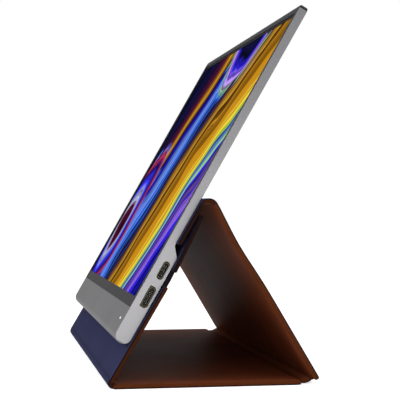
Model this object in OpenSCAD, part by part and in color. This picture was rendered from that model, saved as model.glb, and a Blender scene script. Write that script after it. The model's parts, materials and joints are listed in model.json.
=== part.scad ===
// Portable monitor with a folding leather cover, standing on the cover.
// X runs along the width, the screen faces -Y and Z is up.  Millimetres.
// The cover is one long strip: mount strip, top fold, leg, spine, base, prop.
// The leg, the base and the prop close into a triangle behind the screen.

/* [Screen body] */
// Thickness of the slim part of the body
thin_t = 4.6; // [4.4:0.1:5.4]
// Thickness of the electronics hump along the lower back
hump_t = 9; // [8.6:0.1:10.5]
// Height of the hump, up to the corner where its ramp starts
hump_h = 52.3; // [50:0.1:56]
// Slope of the ramp between the hump and the slim part, in degrees
ramp_angle = 40; // [30:1:60]
// Radius that rounds both ends of the ramp
ramp_r = 2.5; // [0.5:0.1:3]
// Radius of the lower corners, seen from the front
low_corner_r = 1; // [0.5:0.5:8]
// Radius of the upper corners, seen from the front
top_corner_r = 3; // [1:0.5:5]
// Wall of the housing behind and below the electronics
back_wall = 0.9; // [0.6:0.05:0.9]
// Wall of the housing at its two sides
side_wall = 1.2; // [1:0.05:1.6]
// Width of the metal lip that frames the bezel at the sides
side_lip = 0.6; // [0.3:0.05:0.8]
// Height of the bezel's cap over the top edge
cap_h = 2; // [1.2:0.1:2.1]

/* [Display] */
// Width of the lit picture
active_w = 293.8; // [270:0.2:295]
// Height of the lit picture
active_h = 171.8; // [150:0.2:173]
// Height of the metal chin under the bezel
chin_h = 18.7; // [16:0.1:19.5]
// Height of the bezel between the chin and the picture
low_bezel_h = 6.1; // [4.5:0.1:7]
// Width of the border at each side of the picture, up to the body's side
side_border = 6.1; // [5:0.1:9]
// Height of the border above the picture, up to the body's top
top_border = 4.4; // [4.3:0.1:14]
// Thickness of the bezel's front plate
bezel_t = 0.7; // [0.5:0.05:0.8]
// Thickness of the cover glass
glass_t = 0.6; // [0.4:0.05:0.7]
// Thickness of the light-emitting panel
panel_t = 0.8; // [0.5:0.05:0.9]
// Thickness of the metal plate behind the panel
plate_t = 0.4; // [0.2:0.05:0.45]
// How far the glass reaches under the bezel
glass_lap = 1.3; // [1:0.1:1.4]
// Length of the bezel's skirt inside the side walls
skirt_depth = 1.6; // [1:0.1:2]
// Wall of the bezel's skirt
skirt_wall = 0.8; // [0.6:0.05:0.9]
// Width of the foam strips that seat the panel
pad_w = 8; // [5:0.5:12]

/* [Electronics] */
// Thickness of the circuit board
pcb_t = 0.8; // [0.6:0.05:0.9]
// Room between the panel's back plate and the board
pcb_gap = 0.65; // [0.6:0.05:0.8]
// Depth of the board's wide parts, along the height of the screen
pcb_h = 42; // [38:0.5:42]
// Width of the board's main part
pcb_main_w = 118; // [100:1:130]
// Width of the board's key end
pcb_key_w = 30; // [24:1:40]
// Height of the narrow board between the two ends
pcb_bridge_h = 15; // [12:0.5:18]
// Height of the board's lower edge above the screen's lower edge
pcb_v = 7; // [6:0.1:8]
// Distance of the outer screws from the board's ends, past the sockets and keys
screw_inset = 20; // [15:0.5:24]
// Distance of the inner screws from the end of the board's main part
screw_edge = 12; // [5:0.5:16]
// Radius of a screw's shank
screw_r = 0.8; // [0.6:0.05:1]
// Radius of a screw's head
screw_head_r = 1.6; // [1.4:0.05:2]
// Height of a screw's head
screw_head_h = 0.5; // [0.3:0.05:0.55]
// Length of a screw's shank below its head
screw_len = 3; // [2:0.1:3.8]
// Radius of a screw boss in the housing
boss_r = 2.2; // [1.8:0.1:2.6]
// Length of the shield can
can_w = 46; // [30:1:50]
// Width of the shield can
can_h = 26; // [20:1:30]
// Depth of the shield can
can_t = 2.2; // [1.8:0.1:2.8]
// Sheet thickness of the shield can
can_wall = 0.3; // [0.2:0.05:0.4]
// Distance of the shield can from the middle of the board's main part
can_shift = 6; // [0:0.5:8]
// Side of a coil on the board
coil_l = 4.2; // [3:0.1:5]
// Width of the ribbon cable from the panel
flex_w = 30; // [20:1:50]
// Thickness of the ribbon cable
flex_t = 0.2; // [0.1:0.05:0.25]

/* [Sockets and keys] */
// Length of the USB-C cut-out
usb_slot_l = 10; // [9.8:0.1:11]
// Width of the USB-C cut-out
usb_slot_t = 3.3; // [3.3:0.05:3.6]
// Length of the USB-C shell
usb_shell_l = 8.94; // [8.9:0.02:9.2]
// Width of the USB-C shell
usb_shell_t = 3.16; // [3.1:0.02:3.2]
// Depth of a socket behind the side of the housing
socket_depth = 7.4; // [6.5:0.1:9]
// Sheet thickness of a socket's shell
shell_wall = 0.3; // [0.2:0.02:0.35]
// Length of the mini video cut-out
video_slot_l = 11.9; // [11.4:0.1:12.6]
// Width of the mini video cut-out
video_slot_t = 3.8; // [3.6:0.05:4]
// Length of the mini video shell
video_shell_l = 11.2; // [11:0.05:11.3]
// Width of the mini video shell
video_shell_t = 3.2; // [3:0.05:3.3]
// Bevel on the two rear corners of the mini video socket
video_bevel = 1.2; // [0.8:0.1:1.4]
// Height of the right USB-C socket above the lower edge
usb_right_v = 43.4; // [42:0.1:44]
// Height of the mini video socket above the lower edge
video_v = 27.7; // [24:0.1:30]
// Height of the left USB-C socket above the lower edge
usb_left_v = 14; // [13:0.1:15]
// Height of the menu rocker above the lower edge
menu_v = 29.5; // [28.5:0.1:30]
// Height of the power button above the lower edge
power_v = 44; // [43:0.1:44.5]
// Depth of both keys behind the front face
key_w = 5.2; // [5:0.1:5.4]
// Length of the power button
power_l = 7; // [6:0.1:8]
// Length of the menu rocker
menu_l = 13; // [11:0.1:14]
// Width of both keys
key_t = 2.2; // [1.8:0.1:2.4]
// Gap around a key in its slot
key_gap = 0.25; // [0.2:0.01:0.35]
// How far the keys stand out of the side
key_proud = 0.5; // [0.4:0.05:0.5]
// Width of the collar that keeps a key in its slot
key_collar = 0.7; // [0.5:0.05:0.8]
// Travel of the power button
power_travel = 0.4; // [0.2:0.05:0.4]
// Free room behind the keys before their switches
switch_gap = 0.45; // [0.42:0.01:0.5]
// Length of the power light on the chin
led_l = 4; // [2:0.1:6]
// Height of the power light
led_h = 1; // [0.6:0.05:1.6]
// Distance of the power light from the right side
led_inset = 14.5; // [10:0.1:30]
// Height of the power light above the lower edge
led_v = 11.2; // [9:0.1:13]

/* [Cover] */
// How far the cover stands out past each side of the body
cover_over = 0.5; // [0.3:0.1:3]
// Thickness of the leather
leather_t = 0.8; // [0.6:0.05:1]
// Thickness of the stiff boards inside the cover
board_t = 1.1; // [0.8:0.05:1.3]
// Thickness of the woven lining
lining_t = 0.6; // [0.4:0.05:0.7]
// Width of the turned leather edge around a board
rim_w = 1.2; // [0.8:0.1:2]
// How far the lining ends inside the leather's edge
lining_inset = 0.4; // [0.2:0.1:0.8]
// Radius of the cover's corners
cover_corner_r = 2; // [1:0.5:6]
// How far the front fold and the crease end inside the cover's sides
fold_inset = 3; // [1:0.5:5]
// Distance of the spine's ends from the cover's sides
spine_inset = 9; // [3:0.5:15]
// Distance from the tape to the edges of the mount strip
tape_inset = 2.5; // [1:0.1:5]
// Thickness of the tape under the mount strip
tape_t = 0.15; // [0.1:0.05:0.3]
// Length of the leg, from the top fold to the rear fold
leg_len = 105.2; // [102:0.2:112]
// Length of the spine, from the rear fold to the base fold
spine_len = 8.5; // [8:0.1:9.5]
// Length of the prop flap's lower part, from the front fold to its crease
prop_low_len = 60.7; // [57:0.1:64]
// Length of the prop flap's upper part, from its crease to its free edge
prop_top_len = 36.5; // [34:0.1:39]
// Width of the soft strip at the prop flap's crease
crease_w = 8.6; // [6:0.2:10]
// Bend radius inside the top fold
top_fold_r = 2.65; // [2:0.05:3]
// Clearance between the front fold's axis and the leather
front_fold_r = 0.15; // [0.1:0.01:0.3]
// Length of the magnets in the cover and in the hump
magnet_l = 34; // [20:1:50]
// Width of the magnets
magnet_w = 6; // [4:0.5:8]
// Distance between the middles of a pair of magnets
magnet_pitch = 140; // [80:1:200]
// Thickness of the magnets in the hump
hump_magnet_t = 1; // [0.6:0.1:1.2]
// Distance from the hump's upper corner down to its magnets
hump_magnet_drop = 8; // [7:0.5:10]
// Distance from the leg's lower end up to its magnets
leg_magnet_drop = 20; // [12:1:40]
// Distance from the prop's crease strip down to its magnets
prop_magnet_drop = 12; // [10:1:30]

/* [Stance] */
// Angle between the screen and the ground, in degrees
tilt = 60; // [57:0.5:63]
// Angle between the spine and the ground, in degrees
spine_tilt = 16; // [6:1:30]
// Distance from the front fold up to the screen's lower edge
foot_drop = 19.7; // [18:0.1:21]
// Height of the top fold along the back of the screen
fold_v = 82.9; // [81:0.1:85]
// Gap between the hump and the prop flap
prop_gap = 0.2; // [0.15:0.01:0.4]
// Gap between the prop flap's free edge and the mount strip
tip_gap = 0.5; // [0.35:0.01:0.7]

/* [Hidden] */

$fn = 48;
eps = 0.01;        // overlap that keeps a cut clean
through = 4;       // how far a cut runs past a wall
fit_gap = 0.1;     // slip clearance between pieces that are laid in
seat_gap = 0.05;   // clearance between faces that are pushed together

metal = "#b4b3b6";
dark_plastic = "#46464a";
black = "#0c0d12";
pcb_green = "#1d4a34";
tin = "#b9bcc0";
leather = "#4a2a1c";
navy = "#2f3050";
greyboard = "#8d8674";
foam = "#2a2a2c";
magnet = "#8a8d92";

// ---- overall sizes that follow from the picture and its borders ----------
body_w = active_w + 2 * side_border;
body_h = chin_h + low_bezel_h + active_h + top_border;
cover_w = body_w + 2 * cover_over;

// ---- the cover's cross-section --------------------------------------
panel_thick = leather_t + board_t + lining_t;
half_thick = panel_thick / 2;

// ---- where the screen stands, in the (Y, Z) plane --------------------
// up runs along the screen's height, out runs through its thickness
up = [cos(tilt), sin(tilt)];
out = [sin(tilt), -cos(tilt)];
strip_face = thin_t + tape_t + panel_thick;      // leather face of the mount strip
hump_flat = hump_h - ramp_r * tan(ramp_angle / 2);
crease_v = prop_low_len - foot_drop;             // height of the prop's crease
tip_v = crease_v + prop_top_len;                 // height of the prop's free edge
// the upper prop leans in from the hump's corner to the mount strip
lean_in = atan((hump_t + prop_gap - strip_face - tip_gap) / (tip_v - hump_flat));
// the lower prop leans out just enough to let the upper one clear that corner
lean_out = atan(max(0, hump_flat - crease_v) * tan(lean_in) / crease_v);
front_axis_raw = [0, panel_thick + front_fold_r];
front_out = hump_t + prop_gap - foot_drop * tan(lean_out)
            + (panel_thick + front_fold_r) / cos(lean_out);
foot_raw = front_axis_raw + foot_drop * up - front_out * out;

// ---- fold axes ---------------------------------------------------------
top_out = strip_face + top_fold_r;               // top fold's axis off the front face
top_axis_raw = foot_raw + fold_v * up + top_out * out;
leg_off = top_fold_r + half_thick;               // leg's middle off the top fold's axis
leg_reach = norm([leg_len, leg_off]);
// the leg reaches from the top fold down to the rear fold, one spine's rise above the base
rear_z = half_thick + spine_len * sin(spine_tilt);
rear_axis_raw = [top_axis_raw.x + sqrt(pow(leg_reach, 2) - pow(top_axis_raw.y - rear_z, 2)),
                 rear_z];
base_axis_raw = [rear_axis_raw.x - spine_len * cos(spine_tilt), half_thick];
base_len = base_axis_raw.x;                      // from the base fold to the front fold

// ---- shift that puts the origin under the middle of the whole part ------
front_end = -(panel_thick + front_fold_r);
back_end = max(rear_axis_raw.x + half_thick, foot_raw.x + body_h * up.x + thin_t * out.x);
mid_y = (front_end + back_end) / 2;
front_axis = front_axis_raw - [mid_y, 0];
foot = foot_raw - [mid_y, 0];
top_axis = top_axis_raw - [mid_y, 0];
base_axis = base_axis_raw - [mid_y, 0];
rear_axis = rear_axis_raw - [mid_y, 0];

// ---- directions of the cover's parts; their lining is on the left -------
leg_chord = rear_axis - top_axis;
leg_angle = atan2(leg_chord.y, leg_chord.x) - asin(leg_off / leg_reach);
spine_angle = spine_tilt - 180;
base_angle = 180;
prop_low_angle = tilt - lean_out;
prop_top_angle = tilt + lean_in;
prop_mid = front_fold_r + half_thick;            // prop's middle off the front fold's axis
crease_axis = front_axis + prop_low_len * [cos(prop_low_angle), sin(prop_low_angle)]
              + prop_mid * [-sin(prop_low_angle), cos(prop_low_angle)];

// how far a board ends before a fold, so that its corners clear when bent
rear_turn = leg_angle - spine_angle;
rear_setback = half_thick / tan((180 - rear_turn) / 2) + fit_gap;
fold_core = half_thick - lining_t;               // radius of the leather inside a fold
base_setback = fold_core + fit_gap;
fold_half_w = cover_w / 2 - fold_inset;
spine_w = cover_w - 2 * spine_inset;
spine_fold_w = spine_w - 2 * lining_inset;

// ---- inside the screen ---------------------------------------------------
half_w = body_w / 2;
inner_half_w = half_w - side_wall;
housing_top = body_h - cap_h;                    // where the metal ends under the cap
top_wall = 0.8;                                  // metal wall under the cap
shelf_h = 1.5;                                   // reach of the chin's shelf under the bezel
shelf_t = 0.8;                                   // thickness of that shelf
inner_top = housing_top - top_wall;
active_v = chin_h + low_bezel_h;                 // lower edge of the picture
glass_w0 = bezel_t + seat_gap;                   // front of the glass
panel_w0 = glass_w0 + glass_t;
plate_w0 = panel_w0 + panel_t;
plate_w1 = plate_w0 + plate_t;
pcb_w0 = plate_w1 + pcb_gap;
pcb_w1 = pcb_w0 + pcb_t;                         // parts and sockets stand on this face
thin_inner = thin_t - back_wall;
hump_inner = hump_t - back_wall;
pcb_x1 = inner_half_w - 2;                       // outer ends of the board
pcb_low_v = pcb_v + 2 * boss_r;                  // lower row of screws
pcb_high_v = hump_flat - hump_magnet_drop - boss_r - fit_gap;   // upper row, under the magnets
screw_spots = [for (x = [pcb_x1 - screw_inset, pcb_x1 - pcb_main_w + screw_edge,
                         -pcb_x1 + screw_inset],
                    v = [pcb_low_v, pcb_high_v]) [x, v]];
hole_slip = 0.1;                                 // screw clearance in the board
thread_slip = 0.05;                              // screw clearance in its boss
socket_w = pcb_w1 + seat_gap + usb_shell_t / 2;  // depth of the USB-C sockets
video_w = pcb_w1 + seat_gap + video_shell_t / 2; // depth of the video socket

// ======================== helpers =========================================

// places children modelled as [x, depth, height] of the screen
module on_screen() translate([0, foot.x, foot.y]) rotate([tilt - 90, 0, 0]) children();

// places children modelled as [x, along, towards the lining] of a cover part
module on_panel(axis, angle) translate([0, axis.x, axis.y]) rotate([angle, 0, 0]) children();

// extrudes a [Y, Z] outline along X, centred
module along_x(width) rotate([90, 0, 90]) linear_extrude(width, center = true) children();

// rectangle from y0 to y1 with round corners: r0 at y0 and r1 at y1
module round_rect(width, y0, y1, r0, r1) {
    for (s = [-1, 1]) {
        translate([s * (width / 2 - r0), y0 + r0]) circle(r0);
        translate([s * (width / 2 - r1), y1 - r1]) circle(r1);
    }
    translate([-width / 2 + r0, y0]) square([width - 2 * r0, y1 - y0 - r1]);
    translate([-width / 2 + r1, y0 + r0]) square([width - 2 * r1, y1 - y0 - r0]);
    translate([-width / 2, y0 + r0]) square([width, y1 - y0 - r0 - r1]);
}

// slot with round ends, its length along Y
module slot(length, width) {
    square([width, length - width], center = true);
    for (s = [-1, 1]) translate([0, s * (length - width) / 2]) circle(d = width);
}

// ring sector between two radii and two angles under 180 degrees apart
module ring_sector(r0, r1, a0, a1) {
    reach = 2 * r1;
    mid = (a0 + a1) / 2;
    intersection() {
        difference() {
            circle(r1);
            if (r0 > 0) circle(r0);
        }
        polygon([[0, 0], reach * [cos(a0), sin(a0)], reach * [cos(mid), sin(mid)],
                 reach * [cos(a1), sin(a1)]]);
    }
}

// points of an arc from angle a0 to a1
function arc(centre, r, a0, a1, steps) =
    [for (i = [0:steps]) let (a = a0 + (a1 - a0) * i / steps)
        centre + r * [cos(a), sin(a)]];

// ======================== screen: metal and display ==========================

// side outline of the body as [depth, height], open above the round lower edge
function body_side(inset, top) =
    let (back = hump_t - inset, slim = thin_t - inset,
         r_out = max(0.3, ramp_r - inset), r_in = ramp_r + inset,
         shift = inset * tan(ramp_angle / 2))
    concat([[inset, hump_t / 2], [back, hump_t / 2]],
           arc([back - r_out, hump_flat], r_out, 0, ramp_angle, 5),
           arc([slim + r_in, hump_flat + (hump_t - thin_t) / tan(ramp_angle)
                + 2 * ramp_r * tan(ramp_angle / 2)],
               r_in, 180 + ramp_angle, 180, 5),
           [[slim, top], [inset, top]]);

// solid of the body's outer form up to a height
module body_form(top) {
    intersection() {
        union() {
            along_x(body_w) polygon(body_side(0, top));
            along_x(body_w) translate([hump_t / 2, hump_t / 2]) circle(d = hump_t);
        }
        translate([0, hump_t + 1, 0]) rotate([90, 0, 0]) linear_extrude(hump_t + 2)
            round_rect(body_w, 0, body_h, low_corner_r, top_corner_r);
    }
}

// space for the electronics, closed by the chin in front; its lower corners
// follow those of the body, so that the wall keeps its thickness round them
module body_cavity() {
    width = 2 * inner_half_w;
    intersection() {
        union() {
            along_x(width) polygon(body_side(back_wall, inner_top));
            along_x(width) translate([hump_t / 2, hump_t / 2]) circle(d = hump_t - 2 * back_wall);
        }
        translate([0, hump_t, 0]) rotate([90, 0, 0]) linear_extrude(hump_t)
            round_rect(width, back_wall, inner_top + eps,
                       max(0.3, low_corner_r - side_wall), 0.3);
    }
    // open front above the chin
    translate([-inner_half_w, -1, chin_h + shelf_h])
        cube([width, 1 + thin_t / 2, inner_top - chin_h - shelf_h]);
}

// seat of the bezel's plate between the side lips, from the chin to the top
module bezel_seat() {
    translate([-half_w + side_lip, -1, chin_h])
        cube([body_w - 2 * side_lip, 1 + bezel_t, body_h - chin_h]);
}

module usb_hole(v) translate([0, socket_w, v]) along_x(through)
    slot(usb_slot_l, usb_slot_t);

// mini video outline: its two rear corners are bevelled
module video_outline(length, width, bevel) {
    h = length / 2;
    w = width / 2;
    polygon([[-w, -h], [w - bevel, -h], [w, -h + bevel], [w, h - bevel], [w - bevel, h], [-w, h]]);
}

module screw_bosses() {
    for (p = screw_spots) translate([p.x, pcb_w1, p.y]) rotate([-90, 0, 0])
        cylinder(r = boss_r, h = hump_inner - pcb_w1 + eps);
}

module rear_housing() color(metal) on_screen() difference() {
    union() {
        difference() {
            body_form(housing_top);
            body_cavity();
            bezel_seat();
        }
        // shelf under the bezel's lower edge
        translate([-inner_half_w - eps, bezel_t, chin_h - shelf_h])
            cube([2 * inner_half_w + 2 * eps, shelf_t, 2 * shelf_h]);
        screw_bosses();
    }
    for (p = screw_spots) translate([p.x, pcb_w1 - eps, p.y]) rotate([-90, 0, 0])
        cylinder(r = screw_r + thread_slip, h = screw_len - pcb_t + 0.3);
    translate([half_w, 0, 0]) usb_hole(usb_right_v);
    translate([-half_w, 0, 0]) usb_hole(usb_left_v);
    translate([half_w, video_w, video_v]) along_x(through)
        video_outline(video_slot_l, video_slot_t, video_bevel);
    translate([-half_w, key_w, power_v]) along_x(through)
        slot(power_l + 2 * key_gap, key_t + 2 * key_gap);
    translate([-half_w, key_w, menu_v]) along_x(through)
        slot(menu_l + 2 * key_gap, key_t + 2 * key_gap);
    translate([half_w - led_inset, back_wall / 2, led_v]) rotate([90, 90, 0])
        linear_extrude(2 * back_wall, center = true) slot(led_l + seat_gap, led_h + seat_gap);
}

// dark frame in front of the glass, with a cap over the top edge
module front_bezel() color(dark_plastic) on_screen() {
    plate_half = half_w - side_lip - seat_gap;
    difference() {
        intersection() {
            union() {
                translate([-plate_half, 0, chin_h + seat_gap])
                    cube([2 * plate_half, bezel_t, body_h - chin_h - seat_gap]);
                translate([-half_w, 0, housing_top + seat_gap])
                    cube([body_w, thin_t, cap_h - seat_gap]);
            }
            translate([0, hump_t, 0]) rotate([90, 0, 0]) linear_extrude(hump_t + 1)
                round_rect(body_w, 0, body_h, low_corner_r, top_corner_r);
        }
        translate([-active_w / 2, -1, active_v]) cube([active_w, bezel_t + 2, active_h]);
    }
    // skirts that locate the bezel inside the side walls
    for (s = [-1, 1])
        translate([s * (inner_half_w - fit_gap - skirt_wall / 2) - skirt_wall / 2,
                   bezel_t - eps, active_v])
            cube([skirt_wall, skirt_depth + eps, active_h]);
}

// one flat layer behind the bezel, larger than the picture by lap
module display_layer(w0, thick, lap)
    translate([-active_w / 2 - lap, w0, active_v - lap])
        cube([active_w + 2 * lap, thick, active_h + 2 * lap]);

module display_glass() color(black) on_screen() display_layer(glass_w0, glass_t, glass_lap);
module oled_panel() color(black) on_screen() display_layer(panel_w0, panel_t, glass_lap / 2);
module panel_plate() color(tin) on_screen() display_layer(plate_w0, plate_t, glass_lap / 2);

// foam strips between the panel's plate and the slim back wall
module panel_pads() color(foam) on_screen() {
    pad_top = active_v + active_h - pad_w;
    pad_low = hump_h + pad_w + ramp_r;
    for (v = [pad_low, pad_top])
        translate([-active_w / 2 + pad_w, plate_w1, v])
            cube([active_w - 2 * pad_w, thin_inner - plate_w1, pad_w]);
    for (x = [-active_w / 2, active_w / 2 - pad_w])
        translate([x, plate_w1, pad_low])
            cube([pad_w, thin_inner - plate_w1, pad_top + pad_w - pad_low]);
}

// ======================== screen: electronics ================================

// board in the shape of a wide main end, a narrow bridge and a key end
module board_outline() {
    translate([pcb_x1 - pcb_main_w, pcb_v]) square([pcb_main_w, pcb_h]);
    translate([-pcb_x1, pcb_v]) square([pcb_key_w, pcb_h]);
    translate([-pcb_x1, pcb_v + 2]) square([2 * pcb_x1 - pcb_main_w + eps, pcb_bridge_h]);
}

module main_board() color(pcb_green) on_screen()
    translate([0, pcb_w1, 0]) rotate([90, 0, 0]) linear_extrude(pcb_t) difference() {
        board_outline();
        for (p = screw_spots) translate(p) circle(screw_r + hole_slip);
    }

can_x = pcb_x1 - pcb_main_w / 2 - can_shift;     // middle of the shield can
can_v = pcb_v + pcb_h / 2;

// two chips under the can, a column of coils beside it and a row of power
// parts along the bridge
module board_chips() color(black) on_screen() {
    chip = can_w / 4;
    part = [0.75 * coil_l, can_t / 2 - can_wall, 1.2 * coil_l];
    row_w = body_w / 4;
    for (s = [-1, 1]) translate([can_x + s * can_w / 4 - chip / 2, pcb_w1, can_v - chip / 2])
        cube([chip, can_t / 2, chip]);
    for (i = [0:3])
        translate([can_x + can_w / 2 + coil_l, pcb_w1, can_v - can_h / 2 + i * 1.5 * coil_l])
            cube([coil_l, can_t - 2 * can_wall, coil_l]);
    for (i = [0:4]) translate([-row_w + i * row_w / 5, pcb_w1, pcb_v + pcb_bridge_h / 3]) cube(part);
}

module shield_can() color(tin) on_screen() difference() {
    translate([can_x - can_w / 2, pcb_w1, can_v - can_h / 2]) cube([can_w, can_t, can_h]);
    translate([can_x - can_w / 2 + can_wall, pcb_w1 - eps, can_v - can_h / 2 + can_wall])
        cube([can_w - 2 * can_wall, can_t - can_wall + eps, can_h - 2 * can_wall]);
}

module board_screws() color(tin) on_screen()
    for (p = screw_spots) translate([p.x, pcb_w0, p.y]) rotate([-90, 0, 0]) {
        cylinder(r = screw_r, h = screw_len);
        translate([0, 0, -screw_head_h]) difference() {
            cylinder(r = screw_head_r, h = screw_head_h);
            for (a = [0, 90]) rotate(a) translate([0, 0, screw_head_h / 4])
                cube([1.7, 0.4, screw_head_h + eps], center = true);
        }
    }

// ribbon along the panel's plate, with its plug on the board
module display_ribbon() color("#a8641c") on_screen() {
    plug_h = 4;
    plug_v = pcb_v + pcb_h - 3 * plug_h;
    translate([can_x - flex_w / 2, plate_w1 + seat_gap, active_v + fit_gap])
        cube([flex_w, flex_t, pcb_h / 2]);
    translate([can_x - flex_w / 2, plate_w1 + seat_gap + flex_t - eps, plug_v])
        cube([flex_w, pcb_gap - flex_t - seat_gap + eps, plug_h]);
}

// socket shell that opens to +X: outline given as children, tongue inside
module socket(depth) {
    rotate([90, 0, 90]) difference() {
        linear_extrude(depth) children(0);
        translate([0, 0, shell_wall]) linear_extrude(depth) children(1);
    }
}

module usb_socket() {
    tongue_l = usb_shell_l - 2.3;
    socket(socket_depth) {
        slot(usb_shell_l, usb_shell_t);
        slot(usb_shell_l - 2 * shell_wall, usb_shell_t - 2 * shell_wall);
    }
    translate([0, -0.35, -tongue_l / 2]) cube([socket_depth - 0.6, 0.7, tongue_l]);
}

module usb_c_socket_right() color(tin) on_screen()
    translate([half_w - 0.3 - socket_depth, socket_w, usb_right_v]) usb_socket();

module usb_c_socket_left() color(tin) on_screen()
    translate([-half_w + 0.3 + socket_depth, socket_w, usb_left_v]) mirror([1, 0, 0]) usb_socket();

module mini_video_socket() color(tin) on_screen()
    translate([half_w - 0.3 - socket_depth, video_w, video_v]) {
        socket(socket_depth) {
            video_outline(video_shell_l, video_shell_t, video_bevel);
            video_outline(video_shell_l - 2 * shell_wall, video_shell_t - 2 * shell_wall,
                          video_bevel - shell_wall / 2);
        }
        translate([0, -0.35, -video_shell_l / 2 + 1.6])
            cube([socket_depth - 0.8, 0.7, video_shell_l - 3.2]);
    }

// light guide from the board to the chin
module power_light() color("#e8eaf0") on_screen()
    translate([half_w - led_inset, (pcb_w0 - seat_gap) / 2, led_v]) rotate([90, 90, 0])
        linear_extrude(pcb_w0 - seat_gap, center = true) slot(led_l, led_h);

module hump_magnets() color(magnet) on_screen()
    for (s = [-1, 1])
        translate([(s * magnet_pitch - magnet_l) / 2, hump_inner - hump_magnet_t - seat_gap,
                   hump_flat - hump_magnet_drop])
            cube([magnet_l, hump_magnet_t, magnet_w]);

// ======================== screen: keys ========================================

key_back = side_wall + fit_gap;                  // a key's collar behind the side
collar_t = 0.7;                                  // thickness of a key's collar
rock_room = 0.5;                                 // room for the rocker's collar to swing
key_end = key_back + collar_t;                   // power button's rear face
rock_end = side_wall + rock_room + collar_t;     // rocker's rear face
rock_bar_r = 0.6;                                // bar on which the rocker tips
rock_x = rock_end + seat_gap + rock_bar_r;       // that bar behind the side

// cap through the wall and collar behind it; +X points into the body
module key(length, collar_x) {
    rotate([90, 0, 90]) translate([0, 0, -key_proud])
        linear_extrude(key_proud + collar_x + eps) slot(length, key_t);
    translate([collar_x, 0, 0]) rotate([90, 0, 90])
        linear_extrude(collar_t) slot(length + 2 * key_collar, key_t + 2 * key_collar);
}

module power_button() color(metal) on_screen()
    translate([-half_w, key_w, power_v]) key(power_l, key_back);

module menu_rocker() color(metal) on_screen()
    translate([-half_w, key_w, menu_v]) key(menu_l, side_wall + rock_room);

// switches on the board's edge, one behind the button and two behind the
// rocker, with the round bar between them on which the rocker tips
module key_switches() color(black) on_screen() {
    spots = [[power_v, key_end], [menu_v - menu_l / 3, rock_end], [menu_v + menu_l / 3, rock_end]];
    for (p = spots) translate([-half_w + p[1] + switch_gap, pcb_w1, p[0] - 1.3])
        cube([3, key_w + 0.8 - pcb_w1, 2.6]);
    translate([-half_w + rock_x, pcb_w1, menu_v]) rotate([-90, 0, 0])
        cylinder(r = rock_bar_r, h = key_w + 0.8 - pcb_w1);
    translate([-half_w + rock_x, pcb_w1, menu_v - rock_bar_r])
        cube([3, key_w + 0.8 - pcb_w1, 2 * rock_bar_r]);
}

// ======================== cover: layers of a panel ==============================

// leather face with its turned edge; lining side at height face
module leather_shell(y0, y1, face, r0, r1, width = cover_w) color(leather)
    translate([0, 0, face - panel_thick]) difference() {
        linear_extrude(leather_t + board_t) round_rect(width, y0, y1, r0, r1);
        translate([0, 0, leather_t]) linear_extrude(board_t + 1)
            round_rect(width - 2 * rim_w, y0 + rim_w, y1 - rim_w,
                       max(0.3, r0 - rim_w), max(0.3, r1 - rim_w));
    }

// stiff board inside the turned edge
module board_sheet(y0, y1, face, r0, r1, width = cover_w) color(greyboard)
    translate([0, 0, face - lining_t - board_t]) linear_extrude(board_t)
        round_rect(width - 2 * rim_w - 2 * fit_gap, y0 + rim_w + fit_gap,
                   y1 - rim_w - fit_gap, max(0.3, r0 - rim_w), max(0.3, r1 - rim_w));

// lining over the board and the turned edge
module lining_sheet(y0, y1, face, r0, r1, width = cover_w) color(navy)
    translate([0, 0, face - lining_t]) linear_extrude(lining_t)
        round_rect(width - 2 * lining_inset, y0 + lining_inset / 2, y1 - lining_inset / 2, r0, r1);

// soft part of a fold about a middle axis, between two panels in line with it:
// back0 and back1 are the distances to the two panels, turn is the bend
module fold_leather(turn, back0, back1, width) color(leather) {
    along_x(width) {
        circle(fold_core);
        translate([-back0, 0]) square([back0, fold_core]);
        rotate(-turn) square([back1, fold_core]);
    }
}

module fold_lining(turn, back0, back1, width) color(navy) {
    along_x(width) {
        ring_sector(fold_core, half_thick, 90 - turn, 90);
        translate([-back0, fold_core]) square([back0, lining_t]);
        rotate(-turn) translate([0, fold_core]) square([back1, lining_t]);
    }
}

// ======================== cover: mount strip =====================================

strip_v0 = hump_flat + (hump_t - thin_t) / tan(ramp_angle) + 2 * ramp_r * tan(ramp_angle / 2) + 0.4;
strip_len = fold_v - strip_v0 - seat_gap;

// local frame of the strip: it starts at its lower edge, lining towards the screen
module on_strip() on_panel(foot + strip_v0 * up + (strip_face - half_thick) * out, tilt) children();

module mount_tape() color("#d8d8d2") on_strip()
    translate([-cover_w / 2 + tape_inset, tape_inset, half_thick])
        cube([cover_w - 2 * tape_inset, strip_len - 2 * tape_inset, tape_t - eps]);
module mount_strip_lining() on_strip() lining_sheet(0, strip_len, half_thick, 2, 0.5);
module mount_strip_board() on_strip() board_sheet(0, strip_len, half_thick, 2, 0.5);
module mount_strip_leather() on_strip() leather_shell(0, strip_len, half_thick, 2, 0.5);

// the fold turns from the strip's lining side over the top to the leg's
top_a0 = leg_angle + 90;
top_a1 = tilt + 90;
module top_fold_leather() color(leather) on_panel(top_axis, 0) along_x(cover_w)
    ring_sector(top_fold_r, top_fold_r + panel_thick - lining_t, top_a0, top_a1);
module top_fold_lining() color(navy) on_panel(top_axis, 0) along_x(cover_w - 2 * lining_inset)
    ring_sector(top_fold_r + panel_thick - lining_t, top_fold_r + panel_thick, top_a0, top_a1);

// ======================== cover: leg ==============================================

leg_face = top_fold_r + panel_thick;             // lining side of the leg off the top axis
leg_y0 = fit_gap;
leg_y1 = leg_len - rear_setback;
module leg_leather() on_panel(top_axis, leg_angle)
    leather_shell(leg_y0, leg_y1, leg_face, 0.5, cover_corner_r);
module leg_board() on_panel(top_axis, leg_angle) difference() {
    board_sheet(leg_y0, leg_y1, leg_face, 0.5, cover_corner_r);
    leg_magnet_places(fit_gap);
}
module leg_lining() on_panel(top_axis, leg_angle)
    lining_sheet(leg_y0, leg_y1, leg_face, 0.5, cover_corner_r);
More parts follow.
